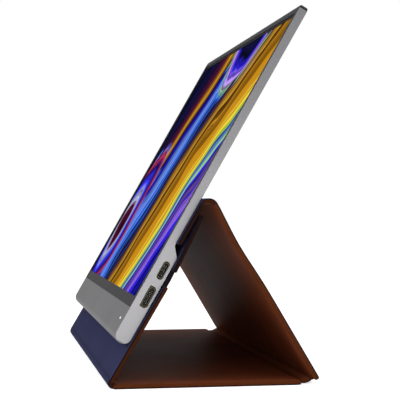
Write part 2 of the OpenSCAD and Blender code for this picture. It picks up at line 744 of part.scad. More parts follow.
// magnets let into the leg's board, near the rear fold
module leg_magnet_places(slip)
    for (s = [-1, 1])
        translate([(s * magnet_pitch - magnet_l) / 2 - slip, leg_y1 - leg_magnet_drop - slip,
                   leg_face - lining_t - board_t - slip])
            cube([magnet_l + 2 * slip, magnet_w + 2 * slip, board_t + 2 * slip]);
module leg_magnets() color(magnet) on_panel(top_axis, leg_angle) leg_magnet_places(0);

// ======================== cover: spine ==============================================

spine_y0 = rear_setback;
spine_y1 = spine_len - base_setback;
module rear_fold_leather() on_panel(rear_axis, leg_angle)
    fold_leather(rear_turn, rear_setback - seat_gap, rear_setback - seat_gap, spine_fold_w);
module rear_fold_lining() on_panel(rear_axis, leg_angle)
    fold_lining(rear_turn, rear_setback - seat_gap, rear_setback - seat_gap, spine_fold_w);
module spine_leather() on_panel(rear_axis, spine_angle)
    leather_shell(spine_y0, spine_y1, half_thick, 1, 1, spine_w);
module spine_board() on_panel(rear_axis, spine_angle)
    board_sheet(spine_y0, spine_y1, half_thick, 1, 1, spine_w);
module spine_lining() on_panel(rear_axis, spine_angle)
    lining_sheet(spine_y0, spine_y1, half_thick, 1, 1, spine_w);

// ======================== cover: base ================================================

base_y0 = base_setback;
base_y1 = base_len - fit_gap;
base_turn = spine_angle + 360 - base_angle;
module base_fold_leather() on_panel(base_axis, spine_angle)
    fold_leather(base_turn, base_setback - seat_gap, base_setback - seat_gap, spine_fold_w);
module base_fold_lining() on_panel(base_axis, spine_angle)
    fold_lining(base_turn, base_setback - seat_gap, base_setback - seat_gap, spine_fold_w);
module base_leather() on_panel(base_axis, base_angle)
    leather_shell(base_y0, base_y1, half_thick, cover_corner_r, 0.5);
module base_board() on_panel(base_axis, base_angle)
    board_sheet(base_y0, base_y1, half_thick, cover_corner_r, 0.5);
module base_lining() on_panel(base_axis, base_angle)
    lining_sheet(base_y0, base_y1, half_thick, cover_corner_r, 0.5);

// ======================== cover: prop flap ============================================

// the fold turns under the axis, from the base's lining side to the prop's
front_a0 = prop_low_angle + 90;
front_a1 = 270;
front_r = front_fold_r + panel_thick;
module front_fold_leather() color(leather) on_panel(front_axis, 0) along_x(2 * fold_half_w)
    ring_sector(front_fold_r, front_r - lining_t, front_a0, front_a1);
module front_fold_lining() color(navy) on_panel(front_axis, 0) along_x(2 * fold_half_w)
    ring_sector(front_r - lining_t, front_r, front_a0, front_a1);

prop_low_y0 = fit_gap;
prop_low_y1 = prop_low_len - crease_w / 2;
module prop_low_leather() on_panel(front_axis, prop_low_angle)
    leather_shell(prop_low_y0, prop_low_y1, front_r, 0.5, 0.8);
module prop_low_board() on_panel(front_axis, prop_low_angle) difference() {
    board_sheet(prop_low_y0, prop_low_y1, front_r, 0.5, 0.8);
    prop_magnet_places(fit_gap);
}
module prop_low_lining() on_panel(front_axis, prop_low_angle)
    lining_sheet(prop_low_y0, prop_low_y1, front_r, 0.5, 0.8);
// magnets let into the prop's board, opposite those in the hump
module prop_magnet_places(slip)
    for (s = [-1, 1])
        translate([(s * magnet_pitch - magnet_l) / 2 - slip, prop_low_y1 - prop_magnet_drop - slip,
                   front_r - lining_t - board_t - slip])
            cube([magnet_l + 2 * slip, magnet_w + 2 * slip, board_t + 2 * slip]);
module prop_magnets() color(magnet) on_panel(front_axis, prop_low_angle) prop_magnet_places(0);

// soft strip at the crease, pressed in on the leather side and bent about its axis
crease_bend = prop_top_angle - prop_low_angle;
crease_skin = 0.4;                               // leather left on that side of the axis
crease_bead = fold_core - fit_gap;               // radius of the bead pressed along the axis
crease_half = crease_w / 2 - seat_gap;
// where the two halves of the bend meet at a height above the crease's axis
function crease_mitre(h) = [-h * tan(crease_bend / 2), h];
function crease_end(h) = crease_half * [cos(crease_bend), sin(crease_bend)]
                         + h * [-sin(crease_bend), cos(crease_bend)];
// layer of the strip from height h0 to h1 over the crease's axis
module crease_layer(h0, h1) polygon([[-crease_half, h0], crease_mitre(h0), crease_end(h0),
                                     crease_end(h1), crease_mitre(h1), [-crease_half, h1]]);
module prop_crease_leather() color(leather) on_panel(crease_axis, prop_low_angle)
    along_x(2 * fold_half_w) {
        circle(crease_bead);
        crease_layer(-crease_skin, fold_core);
    }
module prop_crease_lining() color(navy) on_panel(crease_axis, prop_low_angle)
    along_x(2 * fold_half_w) crease_layer(fold_core + eps, half_thick);

prop_top_y0 = crease_w / 2;
module prop_top_leather() on_panel(crease_axis, prop_top_angle)
    leather_shell(prop_top_y0, prop_top_len, half_thick, 0.8, cover_corner_r);
module prop_top_board() on_panel(crease_axis, prop_top_angle)
    board_sheet(prop_top_y0, prop_top_len, half_thick, 0.8, cover_corner_r);
module prop_top_lining() on_panel(crease_axis, prop_top_angle)
    lining_sheet(prop_top_y0, prop_top_len, half_thick, 0.8, cover_corner_r);

// ======================== parts ========================================================

rear_housing();
front_bezel();
display_glass();
oled_panel();
panel_plate();
panel_pads();
display_ribbon();
main_board();
board_chips();
shield_can();
board_screws();
usb_c_socket_right();
mini_video_socket();
usb_c_socket_left();
key_switches();
power_light();
hump_magnets();
power_button();
menu_rocker();
mount_tape();
mount_strip_lining();
mount_strip_board();
mount_strip_leather();
top_fold_leather();
top_fold_lining();
leg_leather();
leg_board();
leg_lining();
leg_magnets();
rear_fold_leather();
rear_fold_lining();
spine_leather();
spine_board();
spine_lining();
base_fold_leather();
base_fold_lining();
base_leather();
base_board();
base_lining();
front_fold_leather();
front_fold_lining();
prop_low_leather();
prop_low_board();
prop_low_lining();
prop_magnets();
prop_crease_leather();
prop_crease_lining();
prop_top_leather();
prop_top_board();
prop_top_lining();
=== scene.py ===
# %% [markdown]
# # A portable monitor on its folding cover
# A slim metal monitor leans on a cover of leather, board and cloth that folds into a
# triangle behind it.  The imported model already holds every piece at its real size.
# This lesson dresses it: each visible piece gets the soft or crisp edges of the real
# one, and each material is built from what the real one is made of.

import json
from math import cos, exp, pi, radians, sin

import bmesh
import bpy
import numpy as np
from mathutils import Matrix, Vector

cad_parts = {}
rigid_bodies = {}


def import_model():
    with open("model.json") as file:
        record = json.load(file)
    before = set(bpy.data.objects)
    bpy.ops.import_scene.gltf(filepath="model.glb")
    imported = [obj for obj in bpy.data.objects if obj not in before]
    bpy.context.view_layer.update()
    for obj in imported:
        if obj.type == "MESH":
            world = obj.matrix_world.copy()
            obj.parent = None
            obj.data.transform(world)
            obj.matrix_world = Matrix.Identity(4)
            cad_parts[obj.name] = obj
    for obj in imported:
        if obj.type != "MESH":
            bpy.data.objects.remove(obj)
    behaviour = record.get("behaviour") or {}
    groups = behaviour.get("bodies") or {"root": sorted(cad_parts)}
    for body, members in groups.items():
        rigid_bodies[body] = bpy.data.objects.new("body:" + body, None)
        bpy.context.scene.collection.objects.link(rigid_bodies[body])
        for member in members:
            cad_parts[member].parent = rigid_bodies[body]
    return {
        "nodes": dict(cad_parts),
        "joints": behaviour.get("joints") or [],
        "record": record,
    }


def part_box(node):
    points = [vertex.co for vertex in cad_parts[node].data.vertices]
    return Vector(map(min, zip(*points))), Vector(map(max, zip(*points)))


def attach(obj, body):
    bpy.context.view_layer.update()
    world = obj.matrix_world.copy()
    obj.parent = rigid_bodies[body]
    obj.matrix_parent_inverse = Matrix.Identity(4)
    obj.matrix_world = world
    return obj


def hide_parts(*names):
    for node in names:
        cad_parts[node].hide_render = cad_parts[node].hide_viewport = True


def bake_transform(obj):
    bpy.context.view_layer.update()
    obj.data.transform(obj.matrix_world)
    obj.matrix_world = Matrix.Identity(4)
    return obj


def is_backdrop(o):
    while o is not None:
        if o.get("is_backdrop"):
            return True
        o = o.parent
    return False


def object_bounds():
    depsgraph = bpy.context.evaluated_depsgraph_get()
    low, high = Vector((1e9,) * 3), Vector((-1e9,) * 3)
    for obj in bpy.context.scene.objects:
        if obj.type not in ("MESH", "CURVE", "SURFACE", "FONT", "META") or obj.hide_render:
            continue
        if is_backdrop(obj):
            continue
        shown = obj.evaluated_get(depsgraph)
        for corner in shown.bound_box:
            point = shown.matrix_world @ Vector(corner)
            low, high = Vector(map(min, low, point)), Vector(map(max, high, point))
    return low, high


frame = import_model()
cad_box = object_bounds()
MM = 0.001  # one millimetre in metres
LEAN = radians(60)  # between the screen and the floor
UP_SCREEN = Vector((0, cos(LEAN), sin(LEAN)))
print("pieces in the model:", len(frame["nodes"]))

# %% [markdown]
# ## The camera
# A long lens from nearly a metre away keeps the edges of the screen almost parallel.
# The eye is level with the middle of the cover and looks along the width of the
# screen, so the slim side of the body, the ports and the triangle all read at once.
# Forward, right and up are worked out from three angles, and become the columns of the
# camera's matrix: Blender's camera looks along its own -Z with +Y upwards.

# %% Camera
def put_in_scene(name, data):
    """An object made of some data, such as a camera or a mesh, and linked to the scene."""
    made = bpy.data.objects.new(name, data)
    bpy.context.scene.collection.objects.link(made)
    return made


eye = Vector((0.8636, -0.1187, 0.0940))
yaw, pitch, roll = radians(8.95), radians(0.21), radians(-0.24)
forward = Vector((-cos(yaw) * cos(pitch), sin(yaw) * cos(pitch), sin(pitch)))
level_right = Vector((sin(yaw), cos(yaw), 0))
level_up = level_right.cross(forward)
right = level_right * cos(roll) + level_up * sin(roll)
up = right.cross(forward)

lens = bpy.data.cameras.new("camera")
lens.sensor_width, lens.lens = 36, 124.8  # millimetres
camera = put_in_scene("camera", lens)
turn = Matrix((right, up, -forward)).transposed().to_4x4()
camera.matrix_world = Matrix.Translation(eye) @ turn
bpy.context.scene.camera = camera
print("camera is %.2f m from the middle of the floor" % eye.length)

# %% [markdown]
# ## Colours and nodes
# A colour is easiest to choose as a hex value, the way a paint chart or a screen gives
# it.  Blender's shaders count in linear light, so one function turns hex into linear.
# No real surface is quite even, so a second gives a darker and a lighter share of one
# colour to mix.  A third fills the inputs of a node, with values or with what other
# nodes give, and a fourth adds a node, sets its properties and fills it.  They keep
# every material below down to the lines that say what it is.

# %% From hex to linear light
def linear(hex_colour, share=1.0):
    """A colour such as "#c8c6c8" as linear red, green, blue and alpha, times a share."""
    parts = [int(hex_colour[i:i + 2], 16) / 255 for i in (1, 3, 5)]
    light = [c / 12.92 if c <= 0.04045 else ((c + 0.055) / 1.055) ** 2.4 for c in parts]
    return [min(1, c * share) for c in light] + [1.0]


print("#808080 in linear light:", round(linear("#808080")[0], 4))

# %% Helpers for nodes and materials
def shades(colour, low, high):
    """A darker and a lighter share of one colour, as the inputs A and B of a mix."""
    return {"A": linear(colour, low), "B": linear(colour, high)}


def fill(node, inputs):
    """Sets inputs, by name or number, to a value, a socket or a node's first live output."""
    for key, value in inputs.items():
        named = [s for s in node.inputs if s.enabled and key in (s.name, s.identifier)]
        socket = node.inputs[key] if isinstance(key, int) else named[0]
        if isinstance(value, bpy.types.Node):
            value = next(s for s in value.outputs if s.enabled)
        if isinstance(value, bpy.types.NodeSocket):
            node.id_data.links.new(value, socket)
        else:
            socket.default_value = value


def add(tree, kind, inputs=None, **settings):
    """Adds a node, sets its properties and fills its inputs; kind is a shader node's type."""
    made = tree.nodes.new("ShaderNode" + kind)
    for name, value in settings.items():
        setattr(made, name, value)
    fill(made, inputs or {})
    return made


def new_material(name, **sockets):
    """A material, its tree, its Principled shader and its coordinates.  These are in
    metres and stay with the piece when it moves."""
    material = bpy.data.materials.new(name)
    material.use_nodes = True
    tree = material.node_tree
    shader = tree.nodes["Principled BSDF"]
    fill(shader, {key.replace("_", " "): value for key, value in sockets.items()})
    place = add(tree, "TexCoord").outputs["Object"]
    return material, tree, shader, place


def per_metre(size_mm):
    """Texture scale at which one cell of a pattern measures size_mm."""
    return 1 / (size_mm * MM)


print("a cell of 0.5 mm needs a scale of %.0f" % per_metre(0.5))

# %% [markdown]
# ## The housing's metal
# The body is an aluminium sheet, pressed and milled, then blasted with fine beads and
# anodised clear.  The beads leave pits of about a tenth of a millimetre, so the metal
# looks like frost: a broad soft highlight and a very fine sparkle, and never a mirror.
# Brushed metal would need streaks; here the noise is the same in every direction.  The
# pits are drawn four times as large as they are, or they would vanish in the picture.

# %% Bead-blasted, anodised aluminium
def blasted_aluminium(name, colour, roughness, pit_mm=0.45):
    """Grey metal whose fine pits shade its colour, its gloss and its surface."""
    material, tree, shader, place = new_material(name, Metallic=1.0,
                                                 Specular_Tint=linear("#b4b4b4"))
    pits = add(tree, "TexNoise", {"Vector": place, "Scale": per_metre(pit_mm), "Detail": 3.0})
    cloud = add(tree, "TexNoise", {"Vector": place, "Scale": per_metre(40), "Detail": 2.0})
    speckle = add(tree, "Mix", {"Factor": 0.35, "A": pits, "B": cloud})
    tone = add(tree, "Mix", {"Factor": speckle, **shades(colour, 0.65, 1.35)}, data_type="RGBA")
    rough = add(tree, "MapRange", {"Value": pits, "To Min": roughness - 0.06,
                                   "To Max": roughness + 0.08})
    bump = add(tree, "Bump", {"Height": pits, "Strength": 0.12, "Distance": 0.03 * MM})
    fill(shader, {"Base Color": tone, "Roughness": rough, "Normal": bump})
    return material


HOUSING_METAL = blasted_aluminium("grey_anodised_aluminium", "#7f7e80", 0.45)
KEY_METAL = blasted_aluminium("grey_anodised_keys", "#747377", 0.42)
print("metals:", HOUSING_METAL.name, KEY_METAL.name)

# %% [markdown]
# ## The plastics
# The frame round the picture is a moulding in dark grey ABS with a fine spark texture.
# Spark erosion leaves the mould, and so the part, evenly pebbled, which kills the shine
# and lets the frame recede beside the picture.  The pebbles are drawn at 0.6 mm, about
# three times their size, or they would not show.  The frame's cap, over the top edge of
# the screen, is painted a little paler: painted light on its top.  Chips and the tongues
# in the sockets are other mouldings, with finer pebbles, so one function serves all three.

# %% Spark-textured mouldings
CAP_REACH, CAP_PAINTED_LIGHT = 3.6 * MM, 3.0  # cap's depth, and its colour's share: painted light
BLUR = 0.5 * MM  # half the width of the change to the cap's painted light
NOWHERE = 1.0    # metres: higher up than any piece


def moulded_plastic(name, colour, roughness, pebble_mm, painted_light_above=NOWHERE):
    """A pebbled moulding, painted paler above a height up the screen's slope: painted light on the
    cap.
    """
    material, tree, shader, place = new_material(name, Roughness=roughness, IOR=1.54,
                                                 Specular_IOR_Level=0.06)
    pebbles = add(tree, "TexVoronoi", {"Vector": place, "Scale": per_metre(pebble_mm)})
    cloud = add(tree, "TexNoise", {"Vector": place, "Scale": per_metre(15), "Detail": 2.0})
    tone = add(tree, "Mix", {"Factor": cloud, **shades(colour, 0.85, 1.15)}, data_type="RGBA")
    height = add(tree, "VectorMath", {0: place, 1: UP_SCREEN}, operation="DOT_PRODUCT")
    painted_light = add(tree, "MapRange", {"Value": height, "From Min": painted_light_above - BLUR,
                                    "From Max": painted_light_above + BLUR})
    whole = add(tree, "Mix", {"Factor": painted_light, "A": tone, "B": linear(colour, CAP_PAINTED_LIGHT)},
                data_type="RGBA")
    bump = add(tree, "Bump", {"Height": pebbles, "Strength": 0.12, "Distance": 0.05 * MM})
    fill(shader, {"Base Color": whole, "Normal": bump})
    return material


# above cap_line the frame is painted paler: painted light on the cap's top
cap_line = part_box("front_bezel")[1] @ UP_SCREEN - CAP_REACH
BEZEL_PLASTIC = moulded_plastic("spark_textured_abs", "#1f1e22", 0.6, 0.6, cap_line)
CHIP_PLASTIC = moulded_plastic("moulded_epoxy", "#1c1c1e", 0.6, 0.3)
TONGUE_PLASTIC = moulded_plastic("moulded_nylon", "#262321", 0.5, 0.3)
print("plastics:", BEZEL_PLASTIC.name, CHIP_PLASTIC.name, TONGUE_PLASTIC.name)

# %% [markdown]
# ## The leather
# The outside of the cover is cow leather with a thin pigmented finish: chocolate brown,
# smooth, with a low even grain.  Three things make it read as leather.  The finish is
# glossier than cloth but never sharp, so roughness wanders a little.  The grain is a
# net of small rounded cells, drawn from a Voronoi texture, with pores drawn a few times
# too large, or they would vanish.  And the edges are darkened: partly edge paint, darker
# than the hide, and partly painted shade, near black in the gaps next to the screen and
# brown over the folds.  The mesh carries an "edge_paint_and_shade" value for it: 0 is
# bare hide, 0.5 brown, 1 near black.

# %% Finished cow leather
def edge_paint_and_shade(tree):
    """What each point of a skin carries: how much edge paint and painted shade lie on it."""
    return add(tree, "Attribute", attribute_name="edge_paint_and_shade").outputs["Fac"]


def finished_leather(name, hide, brown, black, grain_mm=1.1):
    """Pigmented hide with a net of grain, darkened brown and then near black by edge paint and
    painted shade.
    """
    material, tree, shader, place = new_material(name, IOR=1.5, Specular_IOR_Level=0.002)
    paint = edge_paint_and_shade(tree)
    mottle = add(tree, "TexNoise", {"Vector": place, "Scale": per_metre(26), "Detail": 4.0})
    colour = add(tree, "Mix", {"Factor": mottle, **shades(hide, 0.62, 1.25)}, data_type="RGBA")
    # brown and near black: partly edge paint, partly painted shade in gaps and folds
    for low, high, coat in ((0.0, 0.5, brown), (0.5, 1.0, black)):
        share = add(tree, "MapRange", {"Value": paint, "From Min": low, "From Max": high})
        colour = add(tree, "Mix", {"Factor": share, "A": colour, "B": linear(coat)},
                     data_type="RGBA")
    grain = add(tree, "TexVoronoi", {"Vector": place, "Scale": per_metre(grain_mm),
                                     "Randomness": 0.9})
    pores = add(tree, "TexNoise", {"Vector": place, "Scale": per_metre(0.5), "Detail": 2.0})
    relief = add(tree, "Mix", {"Factor": 0.35, "A": grain, "B": pores})
    bump = add(tree, "Bump", {"Height": relief, "Strength": 0.25, "Distance": 0.10 * MM})
    gloss = add(tree, "MapRange", {"Value": mottle, "To Min": 0.40, "To Max": 0.54})
    fill(shader, {"Base Color": colour, "Roughness": gloss, "Normal": bump})
    return material


# the two darker colours are edge paint and painted shade at rims and folds
LEATHER = finished_leather("finished_cow_leather", "#7d4229", "#4a2410", "#191313")
print("leather:", LEATHER.name)

# %% [markdown]
# ## The lining
# The inside of the cover is a navy microfibre, the kind that wipes a screen clean: ends
# of fibre thinner than a hair stand up from a knit.  It has no highlight of its own.
# Light that grazes it catches the fibre ends, which is what the shader's sheen is for.
# Single fibres are too fine to show, so a noise draws them as tufts half a millimetre
# wide, and a broad one shades the nap as if a hand had passed over.

# %% Navy microfibre
def microfibre(name, colour, edge_seal_and_shade, nap_mm=0.5):
    """Napped cloth, stroked lighter and darker; its cut edge is darker, partly sealed and partly
    painted shade.
    """
    material, tree, shader, place = new_material(name, Roughness=0.95, Sheen_Weight=0.04,
                                                 Sheen_Roughness=0.5, Sheen_Tint=linear("#8f8fc0"),
                                                 IOR=1.45, Specular_IOR_Level=0.02)
    nap = add(tree, "TexNoise", {"Vector": place, "Scale": per_metre(nap_mm), "Detail": 3.0,
                                 "Roughness": 0.7})
    stroked = add(tree, "TexNoise", {"Vector": place, "Scale": per_metre(22), "Detail": 2.0})
    both = add(tree, "Mix", {"Factor": 0.5, "A": nap, "B": stroked})
    tone = add(tree, "Mix", {"Factor": both, **shades(colour, 0.75, 1.25)}, data_type="RGBA")
    sealed = add(tree, "Mix", {"Factor": edge_paint_and_shade(tree), "A": tone, "B": linear(edge_seal_and_shade)},
                 data_type="RGBA")
    bump = add(tree, "Bump", {"Height": nap, "Strength": 0.4, "Distance": 0.1 * MM})
    fill(shader, {"Base Color": sealed, "Normal": bump})
    return material


# the dark colour at the lining's cut edge is partly a sealed edge, partly painted shade
LINING = microfibre("navy_microfibre", "#323453", "#17121a")
print("lining:", LINING.name)

# %% [markdown]
# ## What hides inside
# Between the panels and behind the ports sit everyday materials: tin-plated sheet,
# nickel-plated shells and magnets, a green circuit board, amber film, grey pulp board
# and foam.  Their makers leave them plain, so each is a colour with a little unevenness,
# a roughness that wanders, and a grain of its own size.  One function serves them all.

# %% Plated metal, board, film and foam
def inner_finish(name, colour, roughness, grain_mm, metallic=0.0, contrast=0.18, lift_mm=0.03):
    """A plain finish whose one grain shades its colour, its gloss and its surface."""
    material, tree, shader, place = new_material(name, Metallic=metallic)
    grain = add(tree, "TexNoise", {"Vector": place, "Scale": per_metre(grain_mm), "Detail": 4.0})
    tone = add(tree, "Mix", {"Factor": grain, **shades(colour, 1 - contrast, 1 + contrast)},
               data_type="RGBA")
    rough = add(tree, "MapRange", {"Value": grain, "To Min": roughness - 0.08,
                                   "To Max": min(1, roughness + 0.08)})
    bump = add(tree, "Bump", {"Height": grain, "Strength": 0.2, "Distance": lift_mm * MM})
    fill(shader, {"Base Color": tone, "Roughness": rough, "Normal": bump})
    return material


FINISH = {  # by the material slot that each one dresses
    "sheet_metal": inner_finish("tin_plated_sheet", "#b4b6ba", 0.35, 2, metallic=1),
    # the shells are nickel like the magnets, painted far darker: painted shade inside the ports
    "socket_metal": inner_finish("nickel_shell_painted_shade", "#3a372b", 0.32, 0.8, metallic=1),
    "magnet_metal": inner_finish("nickel_plated_magnet", "#8f9296", 0.3, 2, metallic=1),
    "circuit_board": inner_finish("green_solder_mask", "#1d4a34", 0.35, 3),
    "ribbon_film": inner_finish("amber_polyimide", "#a8641c", 0.3, 4),
    "greyboard": inner_finish("pressed_greyboard", "#8d8674", 0.9, 1.2, contrast=0.3,
                              lift_mm=0.1),
    "foam": inner_finish("closed_cell_foam", "#2a2a2c", 0.9, 0.6, contrast=0.5, lift_mm=0.2),
    "tape_film": inner_finish("tissue_tape", "#d8d8d2", 0.7, 1),
    "panel_black": inner_finish("black_panel_film", "#101114", 0.2, 20)}
print("inner finishes:", len(FINISH))

# %% [markdown]
# ## The picture
# The screen is lit, so its picture is light and not paint: an emission colour behind a
# faint etched glass that scatters what it reflects.  The wallpaper is drawn by the
# material, as long strokes of paint dragged round a few far centres.  The distance from
# a centre picks the colour from a ramp, and a quick noise over the same distance splits
# the strokes into strands.

# %% One set of strokes
SHAKE = 0.10  # share of the reach by which the strands shift the colours


def strokes(tree, at, centre, reach, stops, strand_mm):
    """Colour, share of the reach, and strands round a centre; stops are (share, hex)."""
    far = add(tree, "VectorMath", {0: at, 1: centre}, operation="DISTANCE")
    share = add(tree, "Math", {0: far, 1: reach}, operation="DIVIDE")
    strands = add(tree, "TexNoise", {"W": far, "Detail": 3.0, "Scale": per_metre(strand_mm)},
                  noise_dimensions="1D")
    shaken = add(tree, "Math", {0: strands, 1: SHAKE, 2: share}, operation="MULTIPLY_ADD")
    ramp = add(tree, "ValToRGB", {"Fac": shaken})
    points = ramp.color_ramp.elements
    for _ in stops[2:]:
        points.new(1.0)
    for point, (where, colour) in zip(points, stops):
        point.position, point.color = where, linear(colour)
    light = add(tree, "MapRange", {"Value": strands, "From Min": 0.36, "From Max": 0.60,
                                   "To Min": 0.30, "To Max": 1.15})
    lit = add(tree, "VectorMath", {0: ramp, 3: light}, operation="SCALE")
    return lit, share, strands


print("the strands shift the colours by up to %.0f %% of the reach" % (100 * SHAKE))

# %% [markdown]
# Two slow noises bend the strokes.  Where two sets of strokes meet, the strands end
# raggedly.  A narrow black margin is left inside the frame: partly the screen's dark
# border, partly painted shade along the frame's inner wall.  Along the top the glass is
# printed grey under its edge, which makes the frame look wider.  All places are measured
# along the width and up the slope of the glass, which leans back.

# %% The wallpaper, as a lit panel
# from the glass's edges, whose outer 1.3 mm lies under the frame
SIDE_MARGIN, LOW_MARGIN, TOP_MARGIN, TOP_PRINT = 4.4 * MM, 1.3 * MM, 3.4 * MM, 2.8 * MM
UNLIT, PRINT = "#050507", "#403f43"
BENDS = (95, 0.050), (30, 0.012)  # size of the noise in mm, and how far it reaches


def lit_wallpaper(name, low, high, strength):
    """Strokes on a leaning screen: low is on its lower edge, high is its upper corner."""
    material, tree, shader, place = new_material(name, Roughness=0.5, IOR=1.5,
                                                 Specular_IOR_Level=0.0)
    slope = (high - low).yz.length
    at = add(tree, "SeparateXYZ", {"Vector": place})
    height = add(tree, "MapRange", {"Value": at.outputs["Z"], "From Min": low.z,
                                    "From Max": high.z, "To Min": 0, "To Max": slope}, clamp=False)
    flat = bent = add(tree, "CombineXYZ", {"X": at.outputs["X"], "Y": height})
    for size_mm, reach in BENDS:
        drift = add(tree, "TexNoise", {"Vector": flat, "Detail": 1.0, "Scale": per_metre(size_mm)})
        bent = add(tree, "VectorMath", {0: drift.outputs["Color"], 1: (reach, reach, 0.0),
                                        2: bent}, operation="MULTIPLY_ADD")
    picture, _, long_strands = strokes(tree, bent, *LONG_STROKES)
    for *design, ragged in SMALL_STROKES:
        colour, share, _ = strokes(tree, bent, *design)
        torn = add(tree, "Math", {0: long_strands, 1: ragged, 2: share}, operation="MULTIPLY_ADD")
        edge = add(tree, "MapRange", {"Value": torn, "From Min": 0.97, "From Max": 1.0})
        picture = add(tree, "Mix", {"Factor": edge, "A": colour, "B": picture}, data_type="RGBA")
    printed = add(tree, "Math", {0: height, 1: slope - TOP_PRINT}, operation="GREATER_THAN")
    mask = add(tree, "Mix", {"Factor": printed, "A": linear(UNLIT), "B": linear(PRINT)},
               data_type="RGBA")
    # the black margin: partly the screen's dark border, partly painted shade of the frame's inner
    # wall
    for value, least, most in ((at.outputs["X"], SIDE_MARGIN - high.x, high.x - SIDE_MARGIN),
                               (height, LOW_MARGIN, slope - TOP_MARGIN)):
        for operation, limit in (("GREATER_THAN", least), ("LESS_THAN", most)):
            inside = add(tree, "Math", {0: value, 1: limit}, operation=operation)
            picture = add(tree, "VectorMath", {0: picture, 3: inside}, operation="SCALE")
    fill(shader, {"Base Color": mask, "Emission Color": picture, "Emission Strength": strength})
    return material


print("the picture begins %.1f mm inside the sides of the glass" % (SIDE_MARGIN / MM))

# %% [markdown]
# The long strokes are arcs of a wide circle far out at one side.  Two small sets of
# rings, one low and one high, lie over them.  Each set is a centre, a reach, its
# colours by share of the reach, and the width of a strand in millimetres; the small
# ones also say how ragged they end.

# %% The design of the wallpaper
LONG_STROKES = ((0.34, -0.05, 0.0), 0.5, [
    (0.40, "#05050c"), (0.45, "#1a14a8"), (0.48, "#3a30ff"), (0.505, "#b07cf0"),
    (0.52, "#2a1690"), (0.545, "#3c3cff"), (0.565, "#8fd03a"), (0.59, "#f0d040"),
    (0.62, "#f2a81c"), (0.68, "#7a4c10"), (0.70, "#f5b828"), (0.735, "#40102c"),
    (0.76, "#0a0820"), (0.79, "#3c78ff"), (0.82, "#86b8ff"), (0.84, "#2c20d0"),
    (0.88, "#060614"), (0.91, "#e6a020"), (0.94, "#5a1030"), (1.00, "#10103a")], 9)
SMALL_STROKES = [
    ((-0.085, 0.075, 0.0), 0.075, [
        (0.10, "#05050c"), (0.30, "#6b1040"), (0.40, "#c8d4ff"), (0.50, "#3c3cff"),
        (0.62, "#14106a"), (0.72, "#c03050"), (0.80, "#5a8cff"), (0.90, "#1a14a8"),
        (1.00, "#05050c")], 5, 0.5),
    ((0.060, 0.225, 0.0), 0.080, [
        (0.45, "#10103a"), (0.55, "#2c20d0"), (0.64, "#c090f4"), (0.72, "#8fd03a"),
        (0.80, "#3c78ff"), (0.88, "#1a14a8"), (1.00, "#05050c")], 6, 0.6)]
GLOW = 0.95
glass_low, glass_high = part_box("display_glass")
WALLPAPER = lit_wallpaper("lit_wallpaper", Vector((0, glass_low.y, glass_low.z)), glass_high,
                          GLOW)
print("glass: %.0f mm up its slope" % ((glass_high - glass_low).yz.length / MM))

# %% [markdown]
# ## Light guide
# The power light is a clear rod that carries light from the board to the chin.  From
# outside it is a small pale spot, a little brighter than the metal round it.

# %% Light guide
LIGHT_GUIDE, guide_tree, guide_shader, guide_place = new_material("frosted_light_guide",
                                                                  Roughness=0.5)
haze = add(guide_tree, "TexNoise", {"Vector": guide_place, "Scale": per_metre(1.5)})
milky = add(guide_tree, "Mix", {"Factor": haze, "A": linear("#d8dcea"), "B": linear("#fdfdff")},
            data_type="RGBA")
fill(guide_shader, {"Base Color": milky, "Emission Color": milky, "Emission Strength": 0.5})
print("light guide glows at", guide_shader.inputs["Emission Strength"].default_value)

# %% [markdown]
# ## One finish per material slot
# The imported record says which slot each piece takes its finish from.  Every piece gets
# its material from that table, so nothing is left grey, not even what is never seen.

# %% Dress every piece
FINISH.update({"housing_metal": HOUSING_METAL, "key_metal": KEY_METAL,
               "bezel_plastic": BEZEL_PLASTIC, "chip_plastic": CHIP_PLASTIC,
               "screen_glass": WALLPAPER, "light_guide": LIGHT_GUIDE, "leather": LEATHER,
               "lining_fabric": LINING})
slot_of = {part["node"]: part["material_slot"] for part in frame["record"]["subparts"]}
body_of = {node: body for body, nodes in frame["record"]["behaviour"]["bodies"].items()
           for node in nodes}
for node, slot in slot_of.items():
    mesh = frame["nodes"][node].data
    mesh.materials.clear()
    mesh.materials.append(FINISH[slot])
print("dressed", len(slot_of), "pieces from", len(FINISH), "slots")

# %% [markdown]
# ## Making a piece
# Every new piece is a mesh that ends the same way: faces turned outwards, smooth
# shading with creases kept where the surface really turns, a finish, and for all but
# the folds the body that it moves with.  A piece that stands for a packed one hides it.

# %% Finish a mesh as a piece
SAME_POINT = 1e-7  # metres


def make_piece(name, shape, node, ride=True, smooth_below=35, instead=True):
    """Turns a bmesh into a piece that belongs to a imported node, or stands instead of it."""
    bmesh.ops.remove_doubles(shape, verts=shape.verts, dist=SAME_POINT)
    bmesh.ops.recalc_face_normals(shape, faces=shape.faces)
    mesh = bpy.data.meshes.new(name)
    shape.to_mesh(mesh)
    shape.free()
    mesh.shade_smooth()
    mesh.set_sharp_from_angle(angle=radians(smooth_below))
    mesh.materials.append(FINISH[slot_of[node]])
    piece = put_in_scene(name, mesh)
    if instead:
        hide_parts(node)
    if ride:
        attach(piece, body_of[node])
    return piece


def points_of(node):
    """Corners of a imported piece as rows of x, y, z."""
    return np.array([v.co for v in frame["nodes"][node].data.vertices])


print("the leg's leather is packed with", len(points_of("leg_leather")), "points")

# %% [markdown]
# ## Softened metal and plastic
# No edge on the real body is a perfect corner: blasting and handling leave a radius of
# about a third of a millimetre, and that radius is what catches the light along every
# rim.  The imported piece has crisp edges, so a copy gets its corners cut by a Bevel
# modifier.  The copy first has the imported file's triangles merged into whole faces, or
# the modifier would work on edges that are not there.  A face can have no hole, so the
# copy is cut along its middle and across each socket, and those cuts are kept.

